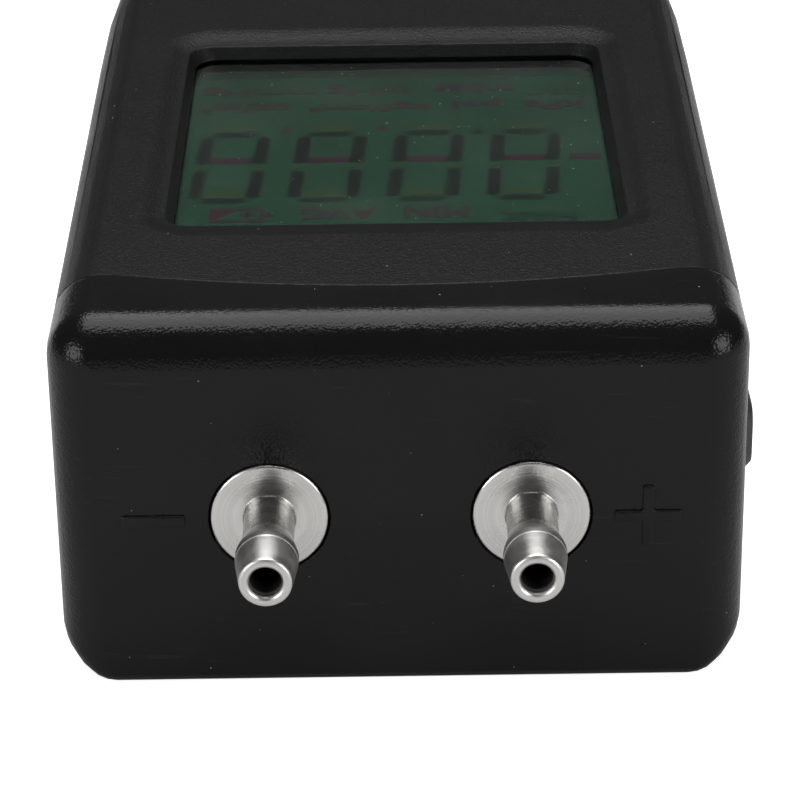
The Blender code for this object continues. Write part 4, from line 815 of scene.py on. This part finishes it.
def thicken(bm):
    """The flat film gets its thickness downwards, into the panel, so that each mark is a closed body."""
    bmesh.ops.recalc_face_normals(bm, faces=bm.faces)
    if bm.faces and sum(f.normal.z * f.calc_area() for f in bm.faces) < 0:
        bmesh.ops.reverse_faces(bm, faces=bm.faces)
    grown = bmesh.ops.extrude_face_region(bm, geom=list(bm.faces))
    lifted = [v for v in grown["geom"] if isinstance(v, bmesh.types.BMVert)]
    bmesh.ops.translate(bm, verts=lifted, vec=(0, 0, (FILM_THICK - FILM_SUNK) * MM))
    bmesh.ops.translate(bm, verts=[v for v in bm.verts if v not in set(lifted)], vec=(0, 0, -FILM_SUNK * MM))
    bmesh.ops.recalc_face_normals(bm, faces=bm.faces)


def film_patch(bm, ink, corners, feather):
    """One flat mark with a soft rim: its ink is full inside and fades to none outside."""
    rim = [bm.verts.new(place(x, station, LCD_TOP)) for x, station in corners]
    face = bm.faces.new(rim)
    face.normal_update()
    if face.normal.z < 0:
        face.normal_flip()
    bmesh.ops.inset_region(bm, faces=[face], thickness=feather * MM, use_even_offset=True, use_boundary=True)
    for v in face.verts:
        v[ink] = 1.0


def slanted(digit, x, station):
    """A place in a digit, which leans about its middle."""
    centre_x, lean = digit
    return centre_x + x + (station - DIGIT_MIDDLE) * lean, station


def bar_along(digit, x, low, high, width, taper):
    """A digit's upright segment, with mitred ends."""
    half = width / 2
    corners = (
        (x - half, low + taper), (x, low), (x + half, low + taper),
        (x + half, high - taper), (x, high), (x - half, high - taper),
    )
    return [slanted(digit, *corner) for corner in corners]


def bar_across(digit, x, station, reach, width, taper):
    """A digit's cross segment, with mitred ends."""
    half = width / 2
    corners = (
        (-reach, 0), (-reach + taper, -half), (reach - taper, -half),
        (reach, 0), (reach - taper, half), (-reach + taper, half),
    )
    return [slanted(digit, x + aside, station + up) for aside, up in corners]


def film(name, patches, finish):
    """A piece of many marks of one ink."""
    bm = bmesh.new()
    ink = bm.verts.layers.float.new("ink")
    for corners, feather in patches:
        film_patch(bm, ink, corners, feather)
    thicken(bm)
    return show(name, mesh_from(name, bm), finish=finish)


# where each digit's middle is, and how much it leans
DIGITS = ((-19.87, 0.037), (-8.12, 0.048), (3.68, 0.058), (15.42, 0.064))
DIGIT_MIDDLE = 53.5
DIGIT_SIDE = 3.43
DIGIT_STROKE = 2.1
BATTERY_SIGN = (
    (-21.65, -15.35, 39.95, 40.5), (-21.65, -15.35, 36.5, 37.05),
    (-21.65, -21.2, 37.05, 39.95), (-15.8, -15.35, 37.05, 39.95),
    (-15.35, -14.2, 38.0, 39.3), (-18.1, -16.3, 38.3, 38.9), (-17.5, -17.0, 37.6, 39.6),
)
BATTERY_CHARGE = [(-21.2, 37.0), (-18.6, 40.0), (-21.2, 40.0)]
# The painted far shadow: where its rim starts, where it is full, where it ends and how high it lies.
FAR_SHADOW_SOFT = [(26.8, 78.2), (26.0, 80.9), (25.1, 82.5), (23.8, 83.4), (21.5, 83.7)]
FAR_SHADOW_FULL = [(28.2, 79.2), (27.4, 82.8), (26.4, 84.8), (24.4, 86.0), (21.5, 86.4)]
FAR_SHADOW_END = 90.4
FAR_SHADOW_LIFT = 0.04


def block(x_low, x_high, low, high):
    """A rectangle's corners."""
    return [(x_low, low), (x_high, low), (x_high, high), (x_low, high)]


def build_far_shadow():
    """A painted shadow across the panel's far end, where the window's far wall shades it, with rounded corners and
    a soft rim.
    """
    bm = bmesh.new()
    ink = bm.verts.layers.float.new("ink")
    far = [(x, FAR_SHADOW_END) for x, _ in FAR_SHADOW_FULL]
    rows = []
    for line, share in ((FAR_SHADOW_SOFT, 0.0), (FAR_SHADOW_FULL, 1.0), (far, 1.0)):
        whole = line + [(-x, station) for x, station in reversed(line)]
        row = [bm.verts.new(place(x, station, LCD_TOP + FAR_SHADOW_LIFT)) for x, station in whole]
        for v in row:
            v[ink] = share
        rows.append(row)
    for lower, upper in zip(rows, rows[1:]):
        for n in range(len(lower) - 1):
            bm.faces.new((lower[n], lower[n + 1], upper[n + 1], upper[n]))
    thicken(bm)
    show("painted_far_shadow_film", mesh_from("painted_far_shadow_film", bm), finish=FAR_SHADOW_INK)


def build_digits():
    """Each digit's segments, the points, the sign before them and the battery sign, by ink."""
    # The dark marks are each segment together with its painted shadow on the reflector.
    dark, maroon, olive = [], [], []
    for digit in DIGITS:
        for x in (-DIGIT_SIDE, DIGIT_SIDE):
            dark.append((bar_along(digit, x, 54.2, 63.5, DIGIT_STROKE, 0.5), 0.5))
            dark.append((bar_along(digit, x, 43.4, 52.5, DIGIT_STROKE, 0.5), 0.5))
            olive.append((bar_across(digit, x, 53.35, 1.0, 1.0, 0.2), 0.25))
        dark.append((bar_across(digit, -0.2, 64.0, 3.2, DIGIT_STROKE, 0.8), 0.7))
        dark.append((bar_across(digit, 0.0, 42.9, 3.2, DIGIT_STROKE, 0.9), 0.7))
        maroon.append((bar_across(digit, 0.05, 55.5, 2.75, 2.0, 0.15), 0.25))
        olive.append((bar_across(digit, 0.0, 66.1, 3.2, 1.9, 0.4), 0.6))
        olive.append((bar_across(digit, 0.1, 45.0, 2.5, 1.9, 0.3), 0.45))
    dark.append((block(9.3, 10.9, 63.1, 65.0), 0.45))
    maroon.append((block(-14.15, -12.85, 64.9, 66.8), 0.3))
    maroon.append((block(-2.3, -1.0, 64.9, 66.8), 0.3))
    maroon.append((block(20.8, 24.85, 54.5, 56.5), 0.25))
    maroon += [(block(*bounds), 0.06) for bounds in BATTERY_SIGN]
    maroon.append((BATTERY_CHARGE, 0.06))
    film("digit_segments_and_painted_shadows", dark, DARK_INK_AND_PAINTED_SHADOW)
    film("digit_maroon_segments", maroon, MAROON_INK)
    film("digit_olive_segments", olive, OLIVE_INK)
    build_far_shadow()


build_digits()


def lettering(words, x_low, x_high, low, high):
    """Words as a flat mesh, fitted into a rectangle and turned so that they read from the key end."""
    curve = bpy.data.curves.new("words", "FONT")
    curve.body = words
    curve.resolution_u = 2
    maker = bpy.data.objects.new("words", curve)
    bpy.context.scene.collection.objects.link(maker)
    bpy.context.view_layer.update()
    flat = maker.to_mesh()
    bm = bmesh.new()
    bm.from_mesh(flat)
    maker.to_mesh_clear()
    bpy.data.objects.remove(maker)
    bpy.data.curves.remove(curve)
    bmesh.ops.remove_doubles(bm, verts=bm.verts, dist=1e-5)
    left, right = min(v.co.x for v in bm.verts), max(v.co.x for v in bm.verts)
    foot, head = min(v.co.y for v in bm.verts), max(v.co.y for v in bm.verts)
    for v in bm.verts:
        x = x_high - (v.co.x - left) / (right - left) * (x_high - x_low)
        station = high - (v.co.y - foot) / (head - foot) * (high - low)
        v.co = place(x, station, 0.0)
    return bm


# words, and the rectangle each fills: x from and to, station from and to
LEGENDS = (
    ("AVG", -11.0, -2.3, 36.9, 40.5),
    ("MIN", 0.9, 8.4, 37.0, 40.6),
    ("kPa", 15.8, 23.6, 71.5, 74.8),
    ("psi", 7.1, 13.2, 72.3, 75.6),
    ("kgf/cm\u00b2", -10.8, 4.3, 71.5, 75.0),
    ("oz/in\u00b2", -24.2, -13.1, 71.2, 75.0),
    ("mbar", 4.4, 15.0, 77.4, 80.9),
    ("inHg", -8.6, 1.7, 77.2, 81.3),
    ("mmHg", -24.4, -10.0, 77.1, 81.0),
    ("ftH\u2082O", 9.1, 18.9, 83.2, 86.4),
    ("inH\u2082O", -6.2, 4.9, 83.2, 86.4),
    ("cmH\u2082O", -22.3, -9.6, 83.2, 86.4),
)
SHADED = (("MAX", 12.0, 20.8, 35.7, 38.6), ("bar", 16.8, 24.0, 75.5, 79.0))


def bold_words(words, x_low, x_high, low, high, strength):
    """A word laid four times a little apart, so that its strokes are as broad as the panel's."""
    made = bmesh.new()
    wide, deep = 0.11, 0.12
    for lift, (aside, along) in enumerate(((-wide, -deep), (wide, -deep), (-wide, deep), (wide, deep))):
        area = (x_low + wide + aside, x_high - wide + aside, low + deep + along, high - deep + along)
        bm = lettering(words, *area)
        bmesh.ops.translate(bm, verts=bm.verts, vec=(0, 0, (LCD_TOP + 0.002 * lift) * MM))
        layer = bpy.data.meshes.new("layer")
        bm.to_mesh(layer)
        bm.free()
        made.from_mesh(layer)
        bpy.data.meshes.remove(layer)
    ink = made.verts.layers.float.new("ink")
    for v in made.verts:
        v[ink] = strength
    thicken(made)
    return made


def build_legends():
    """One piece for each legend, named after its letters."""
    for finish, rows, strength in ((MAROON_INK, LEGENDS, 0.85), (DARK_INK_AND_PAINTED_SHADOW, SHADED, 0.6)):
        for words, *area in rows:
            name = "legend_" + "".join(c for c in words.lower() if c in string.ascii_lowercase)
            mesh = mesh_from(name, bold_words(words, *area, strength))
            show(name, mesh, finish=finish)


build_legends()


# ---------------------------------------------------------------- key printing


def printed_ink():
    """Pad-printed white, thinner where fingers rub it."""
    made, tree, shell = blank("key_print_white")
    marks = use(tree, HANDLING, {"Patches per metre": 400.0})
    base = tint(tree, marks["Smear"], rgb(0.62, 0.62, 0.6), rgb(0.5, 0.5, 0.49))
    tree.links.new(base, shell.inputs["Base Color"])
    shell.inputs["Roughness"].default_value = 0.5
    return made


KEY_WORDS = dict(zip(KEYS, ("ON/OFF", "LIGHT", "UNITS", "HOLD", "REC", "ZERO")))
LETTER_HALF_WIDTH = 0.55
LETTER_HALF_HEIGHT = 0.75


def build_key_printing():
    """Each key's word, laid on the top of its cap and moving with it."""
    ink = printed_ink()
    for key, words in KEY_WORDS.items():
        low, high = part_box("key_" + key)
        mid = (low + high) / 2 / MM
        half_long = LETTER_HALF_WIDTH * len(words)
        station = mid.y + HALF_LENGTH
        across = (mid.x - half_long, mid.x + half_long)
        bm = lettering(words, *across, station - LETTER_HALF_HEIGHT, station + LETTER_HALF_HEIGHT)
        bmesh.ops.translate(bm, verts=bm.verts, vec=(0, 0, high.z))
        thicken(bm)
        show("print_" + key, mesh_from("print_" + key, bm), key + "_key", ink)


build_key_printing()


# ---------------------------------------------------------------- studio

FLOOR_PALE = 0.7
FLOOR_SEEN_WHITE = 0.8
AMBIENT = 0.2
MIRRORED = 0.08
BACKDROP = 1.0


def build_floor():
    """A plain pale floor just under the case; the camera sees it lifted to white, with its shadow kept."""
    bm = bmesh.new()
    bmesh.ops.create_grid(bm, x_segments=2, y_segments=2, size=3.0)
    bmesh.ops.translate(bm, verts=bm.verts, vec=(0, 1.0, -0.0002))
    mesh = bpy.data.meshes.new("studio_floor")
    bm.to_mesh(mesh)
    bm.free()
    floor = bpy.data.objects.new("studio_floor", mesh)
    bpy.context.scene.collection.objects.link(floor)
    made, tree, shell = blank("studio_floor_paper")
    shell.inputs["Base Color"].default_value = rgb(FLOOR_PALE, FLOOR_PALE, FLOOR_PALE)
    shell.inputs["Roughness"].default_value = 0.9
    shell.inputs["Specular IOR Level"].default_value = 0.0
    path = tree.nodes.new("ShaderNodeLightPath")
    shell.inputs["Emission Color"].default_value = rgb(1.0, 1.0, 1.0)
    lifted = calc(tree, "MULTIPLY", path.outputs["Is Camera Ray"], FLOOR_SEEN_WHITE)
    tree.links.new(lifted, shell.inputs["Emission Strength"])
    paint(floor, made)


def build_surround():
    """White behind the scene for the camera, dim for reflections, and a little light from all round."""
    world = bpy.data.worlds.new("studio_surround")
    bpy.context.scene.world = world
    world.use_nodes = True
    tree = world.node_tree
    tree.nodes.clear()
    path = tree.nodes.new("ShaderNodeLightPath")
    ambient, mirrored, white = (
        node(tree, "ShaderNodeBackground", {"Color": rgb(1, 1, 1), "Strength": strength}).outputs[0]
        for strength in (AMBIENT, MIRRORED, BACKDROP)
    )
    shiny = calc(tree, "MAXIMUM", path.outputs["Is Glossy Ray"], path.outputs["Is Transmission Ray"])
    dim = node(tree, "ShaderNodeMixShader", {0: shiny, 1: ambient, 2: mirrored}).outputs[0]
    seen = {0: path.outputs["Is Camera Ray"], 1: dim, 2: white}
    whole = node(tree, "ShaderNodeMixShader", seen).outputs[0]
    node(tree, "ShaderNodeOutputWorld", {"Surface": whole})


def softbox(name, centre, target, width, height, radiance):
    """A rectangular lamp of a given brightness, aimed at a point."""
    data = bpy.data.lights.new(name, "AREA")
    data.shape = "RECTANGLE"
    data.size, data.size_y = width, height
    data.energy = radiance * math.pi * width * height
    lamp = bpy.data.objects.new(name, data)
    bpy.context.scene.collection.objects.link(lamp)
    lamp.location = centre
    lamp.rotation_euler = (Vector(target) - Vector(centre)).to_track_quat("-Z", "Y").to_euler()


def build_lamps():
    """One softbox overhead and one to each side of the camera, aimed at the cap's upper corners."""
    softbox("overhead_box", (0.0, 0.22, 0.75), (0.0, 0.22, 0.0), 0.55, 0.84, 4.7)
    for name, side in (("left_box", -1), ("right_box", 1)):
        softbox(name, (0.76 * side, -0.71, 0.36), (0.035 * side, -0.095, 0.037), 0.55, 0.55, 6.0)


CAMERA_PLACE = (-0.000137, -0.405156, 0.183945)
CAMERA_TURN = (0.451833, 0.000799, -0.013349)
CAMERA_LENS = 145.96


def build_camera():
    """The photograph's camera, as fitted to it: pitch down, yaw and roll."""
    data = bpy.data.cameras.new("camera")
    data.sensor_width = 36.0
    data.lens = CAMERA_LENS
    data.clip_start = 0.01
    camera = bpy.data.objects.new("camera", data)
    bpy.context.scene.collection.objects.link(camera)
    pitch, yaw, roll = CAMERA_TURN
    ahead = Vector((math.sin(yaw) * math.cos(pitch), math.cos(yaw) * math.cos(pitch), -math.sin(pitch)))
    right = Vector((math.cos(yaw), -math.sin(yaw), 0.0))
    up = right.cross(ahead)
    across = right * math.cos(roll) + up * math.sin(roll)
    upward = up * math.cos(roll) - right * math.sin(roll)
    turn = Matrix((across, upward, -ahead)).transposed()
    camera.matrix_world = Matrix.Translation(CAMERA_PLACE) @ turn.to_4x4()
    bpy.context.scene.camera = camera


build_floor()
build_surround()
build_lamps()
build_camera()
bpy.context.scene.view_settings.view_transform = "Standard"

bpy.context.view_layer.update()
